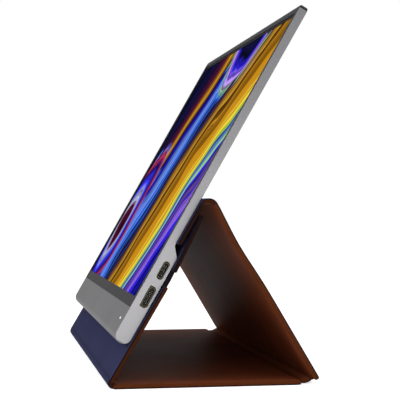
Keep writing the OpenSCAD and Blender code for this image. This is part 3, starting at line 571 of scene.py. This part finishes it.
# %% Whole faces from triangles
PACKED_POINT = 2e-6  # metres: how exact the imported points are


def sliced(shape, point, normal, **options):
    """Cuts a whole mesh by a plane and returns what lies in the cut."""
    everything = shape.verts[:] + shape.edges[:] + shape.faces[:]
    return bmesh.ops.bisect_plane(shape, geom=everything, plane_co=point, plane_no=normal,
                                  **options)["geom_cut"]


def whole_faces(node, cuts=()):
    """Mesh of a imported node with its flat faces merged, apart from cuts (point, normal)."""
    shape = bmesh.new()
    shape.from_mesh(frame["nodes"][node].data)
    bmesh.ops.remove_doubles(shape, verts=shape.verts, dist=PACKED_POINT)
    for point, normal in cuts:
        for made in sliced(shape, point, normal, dist=SAME_POINT):
            if isinstance(made, bmesh.types.BMEdge):
                made.seam = True
    bmesh.ops.dissolve_limit(shape, angle_limit=radians(1), verts=shape.verts, edges=shape.edges,
                             delimit={"SEAM"})
    return shape


print("leg board:", len(whole_faces("leg_board").faces), "whole faces")

# %% [markdown]
# Only the outside needs the radius.  A face is on the outside when nothing of the piece
# lies beyond its plane, and an edge gets its bevel when it is a corner of such a face.
# A rim may take only a share of the radius: the cap over the screen's top edge is
# moulded rounder than the rest of the frame.

# %% Bevelled copies of the hard parts
CORNER = 30             # degrees: a smaller turn is part of a curve
IN_PLANE = 0.02 * MM
CAP_RIMS = 3.2 * MM     # how far down the cap's rims lie
FLAT_SHARE = 0.25       # of the cap's radius, for the rest of the frame
RISING = 0.1            # a face's normal has at least this much up the slope


def softened(node, radius_mm, cuts, share):
    """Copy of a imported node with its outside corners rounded; share weighs each edge."""
    shape = whole_faces(node, cuts)
    points = np.array([v.co for v in shape.verts])
    outside = {f for f in shape.faces
               if ((points - np.array(f.verts[0].co)) @ np.array(f.normal)).max() < IN_PLANE}
    weight = shape.edges.layers.float.new("bevel_weight_edge")
    for edge in shape.edges:
        if outside.intersection(edge.link_faces) and edge.calc_face_angle(0) > radians(CORNER):
            edge[weight] = share(edge)
    piece = make_piece(node + "_soft", shape, node, smooth_below=CORNER)
    bevel = piece.modifiers.new("rounded rims", "BEVEL")
    bevel.width, bevel.segments = radius_mm * MM, 3
    bevel.limit_method = "WEIGHT"
    bevel.use_clamp_overlap = False
    bevel.harden_normals = True
    return piece


def even(edge):
    """The same radius on every rim."""
    return 1.0


def cap_share(edge):
    """1 for the long rims of the cap, less for the other rims of the frame."""
    on_cap = all(v.co @ UP_SCREEN > frame_top - CAP_RIMS for v in edge.verts)
    rises = any(f.normal @ UP_SCREEN > RISING for f in edge.link_faces)
    return 1.0 if on_cap and rises else FLAT_SHARE


frame_top = max(v.co @ UP_SCREEN for v in frame["nodes"]["front_bezel"].data.vertices)
SOCKETS = [node for node, slot in slot_of.items() if slot == "socket_metal"]
middle = [(Vector((0, 0, 0)), Vector((1, 0, 0)))]
across_sockets = [(sum(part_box(socket), Vector()) / 2, UP_SCREEN) for socket in SOCKETS]
for node, radius_mm, cuts, share in (("rear_housing", 0.28, middle + across_sockets, even),
                                     ("front_bezel", 0.8, middle, cap_share),
                                     ("power_button", 0.2, [], even),
                                     ("menu_rocker", 0.2, [], even)):
    made = softened(node, radius_mm, cuts, share)
    print(made.name, len(made.data.polygons), "faces before the bevel")

# %% [markdown]
# ## Inside the sockets
# What shows in the mouth of a socket is its tongue: a slip of black nylon that carries
# the contacts on both faces, with their tinned ends bent over its front edge.  Each
# tongue gets a sleeve a tenth of a millimetre thick, and the contacts lie on it.  They
# are drawn at twice their real pitch, so that they can be told apart.

# %% Boxes that lean with the screen
THROUGH = Vector((0, -UP_SCREEN.z, UP_SCREEN.y))  # towards the front of the screen
EASED = 0.04 * MM


def boxes(name, places, node, finish):
    """One piece of several boxes: each is (corner, corner) in x, up the screen, through it."""
    shape = bmesh.new()
    for a, b in places:
        size = [abs(q - p) for p, q in zip(a, b)]
        centre = [(p + q) / 2 for p, q in zip(a, b)]
        lean = Matrix((Vector((1, 0, 0)), UP_SCREEN, THROUGH)).transposed().to_4x4()
        bmesh.ops.create_cube(shape, size=1, matrix=lean @ Matrix.Translation(centre)
                              @ Matrix.Diagonal((*size, 1)))
    bmesh.ops.bevel(shape, geom=shape.edges[:], offset=EASED, segments=1, affect="EDGES")
    piece = make_piece(name, shape, node, instead=False)
    piece.data.materials[0] = finish


print("towards the front is %.2f, %.2f, %.2f" % tuple(THROUGH))

# %% Tongues and contacts
TONGUE_FRONT, TONGUE_BACK = 0.55 * MM, 5.5 * MM  # how deep in the mouth it begins and ends
TONGUE_HALF, SLEEVE = 0.45 * MM, 0.1 * MM
WIDE_SHELL = 10 * MM
SPACE, WIDE_SPACE = 1.15 * MM, 1.6 * MM  # between the contacts and the end of a shell
PITCH, CONTACT_HALF, CONTACT_PAST = 1 * MM, 0.22 * MM, 0.05 * MM
CONTACT_LOW, CONTACT_HIGH = 0.40 * MM, 0.52 * MM  # from the tongue's middle

for node in SOCKETS:
    corners = [(p[0], Vector(p) @ UP_SCREEN, Vector(p) @ THROUGH) for p in points_of(node)]
    (x0, x1), (v0, v1), (w0, w1) = [(min(c), max(c)) for c in zip(*corners)]
    mouth, side = (x1, 1) if x1 > 0 else (x0, -1)
    half = (v1 - v0) / 2 - (SPACE if v1 - v0 < WIDE_SHELL else WIDE_SPACE)
    v, w = (v0 + v1) / 2, (w0 + w1) / 2
    front, back = mouth - side * TONGUE_FRONT, mouth - side * TONGUE_BACK
    boxes(node + "_tongue", [((back, v - half - SLEEVE, w - TONGUE_HALF),
                              (front, v + half + SLEEVE, w + TONGUE_HALF))],
          node, TONGUE_PLASTIC)
    count = int(2 * half / PITCH)
    places = []
    for i in range(count):
        at = v + (i - (count - 1) / 2) * PITCH
        for face in (-1, 1):
            places.append(((back, at - CONTACT_HALF, w + face * CONTACT_LOW),
                           (front + side * CONTACT_PAST, at + CONTACT_HALF,
                            w + face * CONTACT_HIGH)))
    boxes(node + "_contacts", places, node, FINISH["sheet_metal"])
    print(node, "has", len(places), "contacts")

# %% [markdown]
# ## The cover's panels
# A panel of the cover is a board between leather and lining.  The leather is pulled
# over the board's edge and turned in, so its rim is round on the outside, a faint line
# is pressed just inside the rim where the turned edge ends, and the face swells softly
# from the rim to the middle.  Each panel is a profile, a list of (distance in from the
# edge, height), swept round the panel's outline.  The heights are measured from the
# lining's outer face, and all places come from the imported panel.

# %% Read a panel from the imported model
THICK = 2.5 * MM       # lining, board and leather
RIM_FLOOR = 0.6 * MM   # the lining's thickness: the leather's rim starts here
BOARD_FACE = 1.7 * MM  # where the board ends and the leather's sheet starts
WIDER = dict.fromkeys(("spine", "rear_fold", "base_fold"), 4 * MM)  # soft parts spread sideways


class Panel:
    """A flat part of the cover: along runs from fold to fold, left points to the lining."""

    def __init__(self, name):
        lining, leather = points_of(name + "_lining"), points_of(name + "_leather")
        widest = max(frame["nodes"][name + "_lining"].data.polygons, key=lambda f: f.area)
        left = np.array(widest.normal)[1:]
        if (lining.mean(0) - leather.mean(0))[1:] @ left < 0:
            left = -left
        self.name, self.left = name, left / np.linalg.norm(left)
        self.along = np.array([self.left[1], -self.left[0]])
        self.along_3d, self.left_3d = Vector((0, *self.along)), Vector((0, *self.left))
        self.face = (lining[:, 1:] @ self.left).max()
        self.starts, self.ends, self.half = {}, {}, {}
        for layer, points in (("lining", lining), ("leather", leather)):
            run = points[:, 1:] @ self.along
            self.starts[layer], self.ends[layer] = run.min(), run.max()
            self.half[layer] = points[:, 0].max() + WIDER.get(name, 0)

    def at(self, x, run, height):
        """Point of the model at x, run along the panel and height in from the lining."""
        y, z = self.along * run + self.left * (self.face - height)
        return Vector((x, y, z))


PANELS = {name: Panel(name) for name in ("mount_strip", "leg", "spine", "base", "prop_low",
                                         "prop_top")}
for panel in PANELS.values():
    print("%-12s %6.1f mm from fold to fold" % (
        panel.name, (panel.ends["leather"] - panel.starts["leather"]) / MM))

# %% [markdown]
# The outline is a rectangle with round corners.  At the top fold the leather runs on
# without an edge, so there the outline is made too long and cut off straight.  At the
# rear the leg and the base stand over their folds a little, like the cap of a box.

# %% Outline of a panel, and the edge paint and painted shade on its rim
CORNER_STEPS, LEAST_RADIUS = 7, 0.02 * MM
PAINT_SOLID, PAINT_FADE = 0.4 * MM, 0.5 * MM  # how far in the paint and shade are full, and fade
# 0.5 is brown and 1 is near black: edge paint, with painted shade in gaps and folds
PAINT_AND_SHADE = {"mount_strip": 0.9, "leg": 0.4, "spine": 0.5, "base": 0.4, "prop_low": 0.6,
         "prop_top": 0.95, "top_fold": 0.7, "rear_fold": 0.5, "base_fold": 0.5,
         "front_fold": 0.7, "prop_crease": 0.95}


def outline(half, start, end, r_start, r_end, inset):
    """Points (x, run) of the panel's outline, drawn in by inset."""
    corners = []
    for sign, base, r, first in ((1, start, r_start, -90), (1, end, r_end, 0),
                                 (-1, end, r_end, 90), (-1, start, r_start, 180)):
        r = max(r - inset, LEAST_RADIUS)
        cx = sign * (half - inset - r)
        cy = base + (inset + r) * (1 if base == start else -1)
        for i in range(CORNER_STEPS + 1):
            a = radians(first + 90 * i / CORNER_STEPS)
            corners.append((cx + r * cos(a), cy + r * sin(a)))
    return corners


def paint_near(inset):
    """Share of edge paint and painted shade at a distance in from the edge: 1 on the rim."""
    return min(1, exp(-(inset - PAINT_SOLID) / PAINT_FADE))


print("paint 1 mm in from the edge: %.2f" % paint_near(1 * MM))

# %% Sweep a profile round a panel
RUN_ON = 30 * MM
OVERHANG = {("leg", "end"): 3.2 * MM, ("base", "start"): 1.1 * MM}
LEAST_HALF = 0.1 * MM  # what the innermost loop leaves open
NEAR_SIDE = 0.5 * MM   # a lining's dark edge, sealed and painted shade, is at its sides only


def join_loops(shape, loops):
    """Adds the faces between neighbouring loops of points, and one over each end."""
    for a, b in zip(loops, loops[1:]):
        for i in range(len(a)):
            j = (i + 1) % len(a)
            shape.faces.new((a[i], a[j], b[j], b[i]))
    shape.faces.new(loops[0])
    shape.faces.new(loops[-1])


def swept_panel(panel, layer, corners, profile, cut=None):
    """Profile swept round the panel; cut names an end that runs on into its fold."""
    shape = bmesh.new()
    paint = shape.verts.layers.float.new("edge_paint_and_shade")
    most = PAINT_AND_SHADE[panel.name] if layer == "leather" else 1
    more = {place: RUN_ON if cut == place else OVERHANG.get((panel.name, place), 0)
            for place in ("start", "end")}
    start, end = panel.starts[layer] - more["start"], panel.ends[layer] + more["end"]
    reach = min(panel.half[layer], (end - start) / 2) - LEAST_HALF
    loops = []
    for inset, height in profile:
        if inset > reach:
            break
        loop = [shape.verts.new(panel.at(x, run, height)) for x, run in
                outline(panel.half[layer], start, end, *corners, inset)]
        for vertex in loop:
            at_side = panel.half[layer] - abs(vertex.co.x) < inset + NEAR_SIDE
            # rims get edge paint and painted shade: all of the leather's, the lining's at its
            # sides
            vertex[paint] = paint_near(inset) * most if layer == "leather" or at_side else 0
        loops.append(loop)
    join_loops(shape, loops)
    if cut:
        edge = panel.starts[layer] if cut == "start" else panel.ends[layer]
        outward = panel.along_3d * (1 if cut == "end" else -1)
        sliced(shape, panel.at(0, edge, 0), outward, clear_outer=True)
        bmesh.ops.holes_fill(shape, edges=[e for e in shape.edges if e.is_boundary])
    return shape


print("the leg stands %.1f mm over its rear fold" % (OVERHANG["leg", "end"] / MM))

# %% [markdown]
# ## The two profiles
# The rim has a radius of 0.8 mm, the swell is a third of a millimetre, and the pressed
# line lies 3.5 mm inside the edge.  The lining ends almost level with the leather's
# edge, and its own edge is darkened, partly sealed and partly painted shade, so a panel
# seen from its side is brown with a dark line along the lining.

# %% Profile of the leather
RIM_RADIUS = 0.8 * MM
SWELL, SWELL_REACH = 0.30 * MM, 5 * MM
PRESSED_AT, PRESSED_DEPTH, PRESSED_HALF = 3.5 * MM, 0.12 * MM, 0.5 * MM
TURNED_IN = 1.2 * MM  # how wide the leather stands beside the board
SLOPE, SLOPE_STEP = 0.2 * MM, 0.05 * MM  # eases the leather's lower edge
LEATHER_LOOPS = (1.2, 1.7, 2.3, 2.9, 3.0, 3.15, 3.3, 3.5, 3.7, 3.85, 4.0, 4.6, 5.5, 7, 9, 12,
                 16, 22, 30, 42)  # insets in mm, close together at the pressed line


def rounded_rim(radius, low, face, steps=5):
    """Profile of a quarter round from the side at height low up to a face."""
    arc = []
    for i in range(steps + 1):
        a = radians(90 * i / steps)
        arc.append((radius * (1 - cos(a)), face - radius * (1 - sin(a))))
    return [(0, low)] + arc


def leather_height(inset):
    """Height of the leather's face at a distance in from the edge."""
    drop = SWELL * exp(-inset / SWELL_REACH)
    off = min(1, abs(inset - PRESSED_AT) / PRESSED_HALF)
    return THICK - drop - PRESSED_DEPTH * (1 + cos(pi * off)) / 2


def leather_profile():
    """From beside the board, round the rim, to the middle of the face."""
    turned_in = [(TURNED_IN, BOARD_FACE), (TURNED_IN, RIM_FLOOR), (SLOPE, RIM_FLOOR),
                 (SLOPE_STEP, RIM_FLOOR + SLOPE_STEP)]
    rim = rounded_rim(RIM_RADIUS, RIM_FLOOR + SLOPE, leather_height(RIM_RADIUS))
    return turned_in + rim + [(d * MM, leather_height(d * MM)) for d in LEATHER_LOOPS]


print("leather swells %.2f mm between its rim and the middle" % (
    (leather_height(LEATHER_LOOPS[-1] * MM) - leather_height(RIM_RADIUS)) / MM))

# %% Profile of the lining
LINING_RADIUS, LINING_SIDE = 0.25 * MM, 0.15 * MM
LINING_UNDER = (0.3 * MM, 0), (0.08 * MM, 0.04 * MM)  # (inset, drop) under the leather's rim
LINING_OUT = 0.25 * MM  # how far it reaches past its packed edge
LINING_LOOPS = 1, 3, 8, 20  # insets in mm


def lining_profile():
    """From under the leather's rim, round the cut edge, to the middle of the face."""
    under = [(inset, RIM_FLOOR - drop) for inset, drop in LINING_UNDER]
    rim = [(inset, RIM_FLOOR - height) for inset, height in
           rounded_rim(LINING_RADIUS, LINING_SIDE, RIM_FLOOR)]
    whole = [(inset - LINING_OUT, height) for inset, height in under + rim]
    return whole + [(d * MM, 0) for d in LINING_LOOPS]


print("lining has", len(lining_profile()), "rings of points")

# %% [markdown]
# ## The leg's soft bend
# The leg is the longest panel and carries the screen.  A quarter of the way down its
# board has taken a set: the panel dips by about a millimetre towards the triangle and
# recovers, which shows as a soft bend in its outline.  The dip moves the points of all
# three layers by the same amount, so they stay together.

# %% Dip the leg
DIP_AT, DIP_WIDTH, DIP_DEPTH, DIP_EASE = 25 * MM, 12 * MM, 1.1 * MM, 8 * MM
DIP_LINES_MM = range(3, 66, 3)  # places of the lines that let the leg bend


def ruled(shape, panel, runs):
    """Adds lines across a panel's mesh at these places along it."""
    for run in runs:
        sliced(shape, panel.at(0, run, 0), panel.along_3d)


def dip_leg(shape, panel):
    """Moves points of the leg towards its leather side, round a line across it."""
    top = panel.starts["leather"]
    ruled(shape, panel, [top + line_mm * MM for line_mm in DIP_LINES_MM])
    for vertex in shape.verts:
        run = vertex.co @ panel.along_3d - top
        ease = min(1, max(0, run / DIP_EASE))
        bump = exp(-((run - DIP_AT) / DIP_WIDTH) ** 2 / 2) * ease * ease * (3 - 2 * ease)
        vertex.co -= panel.left_3d * DIP_DEPTH * bump
    return shape


leg_board = make_piece("leg_board_dipped", dip_leg(whole_faces("leg_board"), PANELS["leg"]),
                       "leg_board")
print("board of the leg:", len(leg_board.data.polygons), "faces")

# %% [markdown]
# ## The soft spine
# The spine is the narrow panel between leg and base.  It has to bend with every fold
# of the cover, so it is pressed thinner than the others and hangs through a little.
# Its points move only through its thickness: their height above the lining's outer face
# is made smaller, and lowered in the middle.

# %% Press and sag the spine
SPINE_SHARE, SPINE_SAG, SPINE_PARTS = 0.62, 0.6 * MM, 8


def soften_spine(shape, panel):
    """Presses the spine to a share of its thickness and lets its middle sag."""
    start, end = panel.starts["leather"], panel.ends["leather"]
    ruled(shape, panel, [start + (end - start) * i / SPINE_PARTS for i in range(1, SPINE_PARTS)])
    for vertex in shape.verts:
        share = (vertex.co @ panel.along_3d - start) / (end - start)
        height = panel.face - vertex.co @ panel.left_3d
        lower = SPINE_SAG * sin(pi * min(1, max(0, share)))
        vertex.co += panel.left_3d * (height - height * SPINE_SHARE + lower)
    return shape


make_piece("spine_board_soft", soften_spine(whole_faces("spine_board"), PANELS["spine"]),
           "spine_board")
print("the spine's board is %.2f mm thick" % (SPINE_SHARE * (BOARD_FACE - RIM_FLOOR) / MM))

# %% [markdown]
# ## Skins of the six panels
# The corners' radii differ: those at a free end or beside a recessed fold are round,
# those at the top fold are square, because the leather runs on there.  On the side with
# the two ports the cover stands past the screen by a few millimetres, so the skins'
# points on that side all move outwards by the same amount.

# %% Leather and lining of each panel
CORNERS = {"mount_strip": (2, 0.5), "leg": (0.5, 2.5), "spine": (1, 1), "base": (3, 0.5),
           "prop_low": (0.5, 0.8), "prop_top": (0.8, 2)}  # radii in mm, at start and end
RUNS_ON = {"mount_strip": "end", "leg": "start"}
RESHAPED = {"leg": dip_leg, "spine": soften_spine}
PORT_SIDE, PORT_SIDE_OUT = 100 * MM, 4 * MM  # where that side begins, and how far it goes


def stand_past(shape):
    """Moves the side with the two ports outwards."""
    for vertex in shape.verts:
        if vertex.co.x > PORT_SIDE:
            vertex.co.x += PORT_SIDE_OUT
    return shape


for name, panel in PANELS.items():
    corners = [r * MM for r in CORNERS[name]]
    for layer, profile in (("leather", leather_profile()), ("lining", lining_profile())):
        shape = swept_panel(panel, layer, corners, profile, RUNS_ON.get(name))
        if name in RESHAPED:
            shape = RESHAPED[name](shape, panel)
        made = make_piece(name + "_" + layer + "_skin", stand_past(shape), name + "_" + layer)
        print(made.name, len(made.data.vertices), "points")

# %% [markdown]
# ## The folds
# Between two panels leather and lining run on with no board, bent round the fold.  A
# fold is one section, drawn across the width, swept along a path: a short straight run
# on from the first panel, an arc about the fold's axis, and a short run to the next.
# The path is bent, and not the finished strip, so the thickness stays true.

# %% Read a fold from its joint
LAP = 0.5 * MM  # how far the fold's lining lies over the panel's, to cover the seam


class Fold:
    """The way from one panel to the next round a joint's axis."""

    def __init__(self, joint, first, second):
        found = next(j for j in frame["joints"] if j["name"] == joint)
        self.axis = np.array(found["pos_m"][1:])
        self.bodies = (found["parent"], found["child"])
        self.first, self.second = PANELS[first], PANELS[second]
        self.radius = self.first.face - self.axis @ self.first.left
        a, b = self.first.along, self.second.along
        self.heading = np.arctan2(a[1], a[0])
        self.turn = np.arctan2(a[1] * b[0] - a[0] * b[1], a @ b)
        if self.turn < -pi / 2:
            self.turn += 2 * pi

    def stations(self, layer, steps):
        """(heading, run on) of each section along the fold, in order."""
        lap = LAP if layer == "lining" else 0
        before = self.axis @ self.first.along - self.first.ends[layer] + lap
        after = self.second.starts[layer] - self.axis @ self.second.along + lap
        bend = [(self.heading - self.turn * i / steps, 0) for i in range(steps + 1)]
        return ([(self.heading, -before), (self.heading, -before / 2)] + bend
                + [(self.heading - self.turn, after / 2), (self.heading - self.turn, after)])

    def at(self, station, x, height):
        """Point of the model at a station, x and height in from the lining."""
        heading, run_on = station
        along = np.array([cos(heading), sin(heading)])
        left = np.array([-sin(heading), cos(heading)])
        y, z = self.axis + (self.radius - height) * left + run_on * along
        return Vector((x, y, z))


FOLDS = {name: Fold(name, first, second) for name, first, second in (
    ("top_fold", "mount_strip", "leg"), ("rear_fold", "leg", "spine"),
    ("base_fold", "spine", "base"), ("front_fold", "base", "prop_low"),
    ("prop_crease", "prop_low", "prop_top"))}
for name, fold in FOLDS.items():
    print("%-12s turns %6.1f degrees, lining at %.2f mm" % (
        name, np.degrees(fold.turn), fold.radius / MM))

# %% Sweep a section round a fold
LEAST_PAINTED_SHADE = 0.2  # painted shade that darkens the leather of a fold between its rims


def swept_fold(fold, layer, half, profile, steps, most):
    """Profile (inset, height) mirrored to a closed section and swept along the fold."""
    shape = bmesh.new()
    paint = shape.verts.layers.float.new("edge_paint_and_shade")
    section = [(half - inset, height, inset) for inset, height in profile]
    section += [(-x, height, inset) for x, height, inset in reversed(section)]
    loops = []
    for station in fold.stations(layer, steps):
        loop = [shape.verts.new(fold.at(station, x, height)) for x, height, _ in section]
        for vertex, (_, _, inset) in zip(loop, section):
            # the leather of a fold is darkened across its width: painted shade in the bend
            least = LEAST_PAINTED_SHADE if layer == "leather" else 0
            vertex[paint] = most * max(paint_near(inset), least)
        loops.append(loop)
    join_loops(shape, loops)
    return shape


print("rear fold's path has", len(FOLDS["rear_fold"].stations("leather", 16)), "stations")

# %% [markdown]
# The leather of the top fold has the same rim as the panels, so the edge runs over the
# top unbroken.  The front fold and the crease end 3 mm inside the cover's sides, and the
# spine's two folds end with the spine's lining.  Beside the spine and in the crease the
# leather is pressed thin: only as much is left as fits inside the bend.

# %% Section of a fold
DEEP, SHALLOW = 30 * MM, 2 * MM  # insets of the points between a section's rims
LINING_PROUD = 0.03 * MM  # how far a fold's lining stands over its panels' linings
LINING_RIM, LEATHER_RIM = 0.2 * MM, 0.3 * MM  # radii
THIN_PARTS = 2.2  # a thin section has a radius of its thickness over this
EASE = 0.3  # share of the radius that is cut off the lower corner


def fold_profile(layer, inner):
    """Section of a fold from its middle to its side: leather ends at height inner."""
    if layer == "lining":
        low, high, r = -LINING_PROUD, RIM_FLOOR, LINING_RIM
    else:
        low, high, r = RIM_FLOOR, inner, min(LEATHER_RIM, (inner - RIM_FLOOR) / THIN_PARTS)
    lower = [(DEEP, low), (SHALLOW, low), (r, low), (EASE * r, low + EASE * r), (0, low + r)]
    upper = rounded_rim(r, high - r, high, steps=3)[1:]
    return lower + upper + [(SHALLOW, high), (DEEP, high)]


print("a fold's section has", 2 * len(fold_profile("lining", THICK)), "points")

# %% Leather and lining of each fold
INNER = {"top_fold": THICK, "rear_fold": 1.17 * MM, "base_fold": 1.17 * MM, "front_fold": THICK,
         "prop_crease": 1.65 * MM}
STEPS = {"top_fold": 22, "rear_fold": 16, "base_fold": 6, "front_fold": 18, "prop_crease": 4}
for name, fold in FOLDS.items():
    for layer in ("leather", "lining"):
        node = name + "_" + layer
        half = points_of(node)[:, 0].max() + WIDER.get(name, 0)
        profile = fold_profile(layer, INNER[name])
        if name == "top_fold" and layer == "leather":
            profile = [(DEEP, RIM_FLOOR)] + leather_profile()[2:]
        shape = swept_fold(fold, layer, half, profile, STEPS[name], PAINT_AND_SHADE[name])
        made = make_piece(node + "_skin", stand_past(shape), node, ride=False, smooth_below=50)
        start = fold.first.at(0, fold.first.ends["leather"], THICK / 2)
        end = fold.second.at(0, fold.second.starts["leather"], THICK / 2)
        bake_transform(made)
        print(made.name, "bends between", " and ".join(fold.bodies))

# %% [markdown]
# ## Floor and light
# The floor is a plain pale sheet.  Where a camera or a reflection meets the floor or
# the world it adds light of its own, so the background stays white without more light
# on the object, and the object's shadow still shows.

# %% Floor
FLOOR_HALF = 6  # metres
floor_shape = bmesh.new()
bmesh.ops.create_grid(floor_shape, x_segments=1, y_segments=1, size=FLOOR_HALF)
floor_mesh = bpy.data.meshes.new("floor")
floor_shape.to_mesh(floor_mesh)
floor_shape.free()
put_in_scene("floor", floor_mesh)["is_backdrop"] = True
print("floor is %d m wide" % (2 * FLOOR_HALF))

# %% Paper on the floor, and the world behind it
FLOOR_OWN, ON_OBJECT, BEHIND_IT = 0.65, 0.58, 1.0  # levels of light


def seen_or_mirrored(tree):
    """1 for a ray from the camera, a reflection or a view through glass, otherwise 0."""
    path = add(tree, "LightPath")
    either = add(tree, "Math", {0: path.outputs["Is Camera Ray"],
                                1: path.outputs["Is Glossy Ray"]}, operation="MAXIMUM")
    return add(tree, "Math", {0: either, 1: path.outputs["Is Transmission Ray"]},
               operation="MAXIMUM")


paper = bpy.data.materials.new("pale_floor")
paper.use_nodes = True
tree = paper.node_tree
tree.nodes.remove(tree.nodes["Principled BSDF"])
sheet = add(tree, "BsdfDiffuse", {"Color": linear("#f4f4f4")})
own = add(tree, "Math", {0: seen_or_mirrored(tree), 1: FLOOR_OWN}, operation="MULTIPLY")
glow = add(tree, "Emission", {"Strength": own})
both = add(tree, "AddShader", {0: sheet, 1: glow})
fill(tree.nodes["Material Output"], {"Surface": both})
floor_mesh.materials.append(paper)

world = bpy.data.worlds.new("studio")
bpy.context.scene.world = world
world.use_nodes = True
tree = world.node_tree
tree.nodes.clear()
level = add(tree, "MapRange", {"Value": seen_or_mirrored(tree), "To Min": ON_OBJECT,
                               "To Max": BEHIND_IT})
sky = add(tree, "Background", {"Color": linear("#ffffff"), "Strength": level})
add(tree, "OutputWorld", {"Surface": sky})
print("world:", BEHIND_IT, "behind the object,", ON_OBJECT, "on it")

# %% [markdown]
# Four soft lamps give the forms.  The first stands low by the ports and brightens the
# metal and the leather's near edges.  The second, weaker, reaches in under the screen.
# The third fills the screen's chin and the prop from the front.  The last comes from
# high behind and draws the edge of the leg.

# %% Lamps
LAMPS = {  # place, aim, size in metres, watts
    "side_lamp": ((0.44, -0.01, 0.01), (0.15, -0.04, 0.03), 0.16, 0.36),
    "edge_lamp": ((1.5, -0.42, 0.14), (0.0, 0.0, 0.03), 0.3, 1.0),
    "front_lamp": ((0.28, -0.85, 0.60), (0.15, -0.05, 0.04), 0.2, 2.6),
    "back_lamp": ((0.3, 0.8, 0.9), (0.1, 0.05, 0.08), 0.5, 3.0)}
for name, (place, aim, size, watts) in LAMPS.items():
    light = bpy.data.lights.new(name, "AREA")
    light.size, light.energy = size, watts
    lamp = put_in_scene(name, light)
    lamp.visible_camera = False
    towards = (Vector(aim) - Vector(place)).to_track_quat("-Z", "Y")
    lamp.matrix_world = Matrix.Translation(place) @ towards.to_matrix().to_4x4()
    print("%-10s %.2f W" % (name, watts))
bpy.context.scene.view_settings.view_transform = "Standard"

# %% [markdown]
# ## Sizes
# The dressed model must stay the size of the imported one.  Both boxes are printed,
# side by side.

# %% Print the two boxes
def as_lists(box):
    """A box as two plain lists of numbers."""
    return [[float(value) for value in corner] for corner in box]


dressed_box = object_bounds()
for label, box in (("packed", cad_box), ("dressed", dressed_box)):
    print(label, [round((high - low) / MM, 2) for low, high in zip(*as_lists(box))])
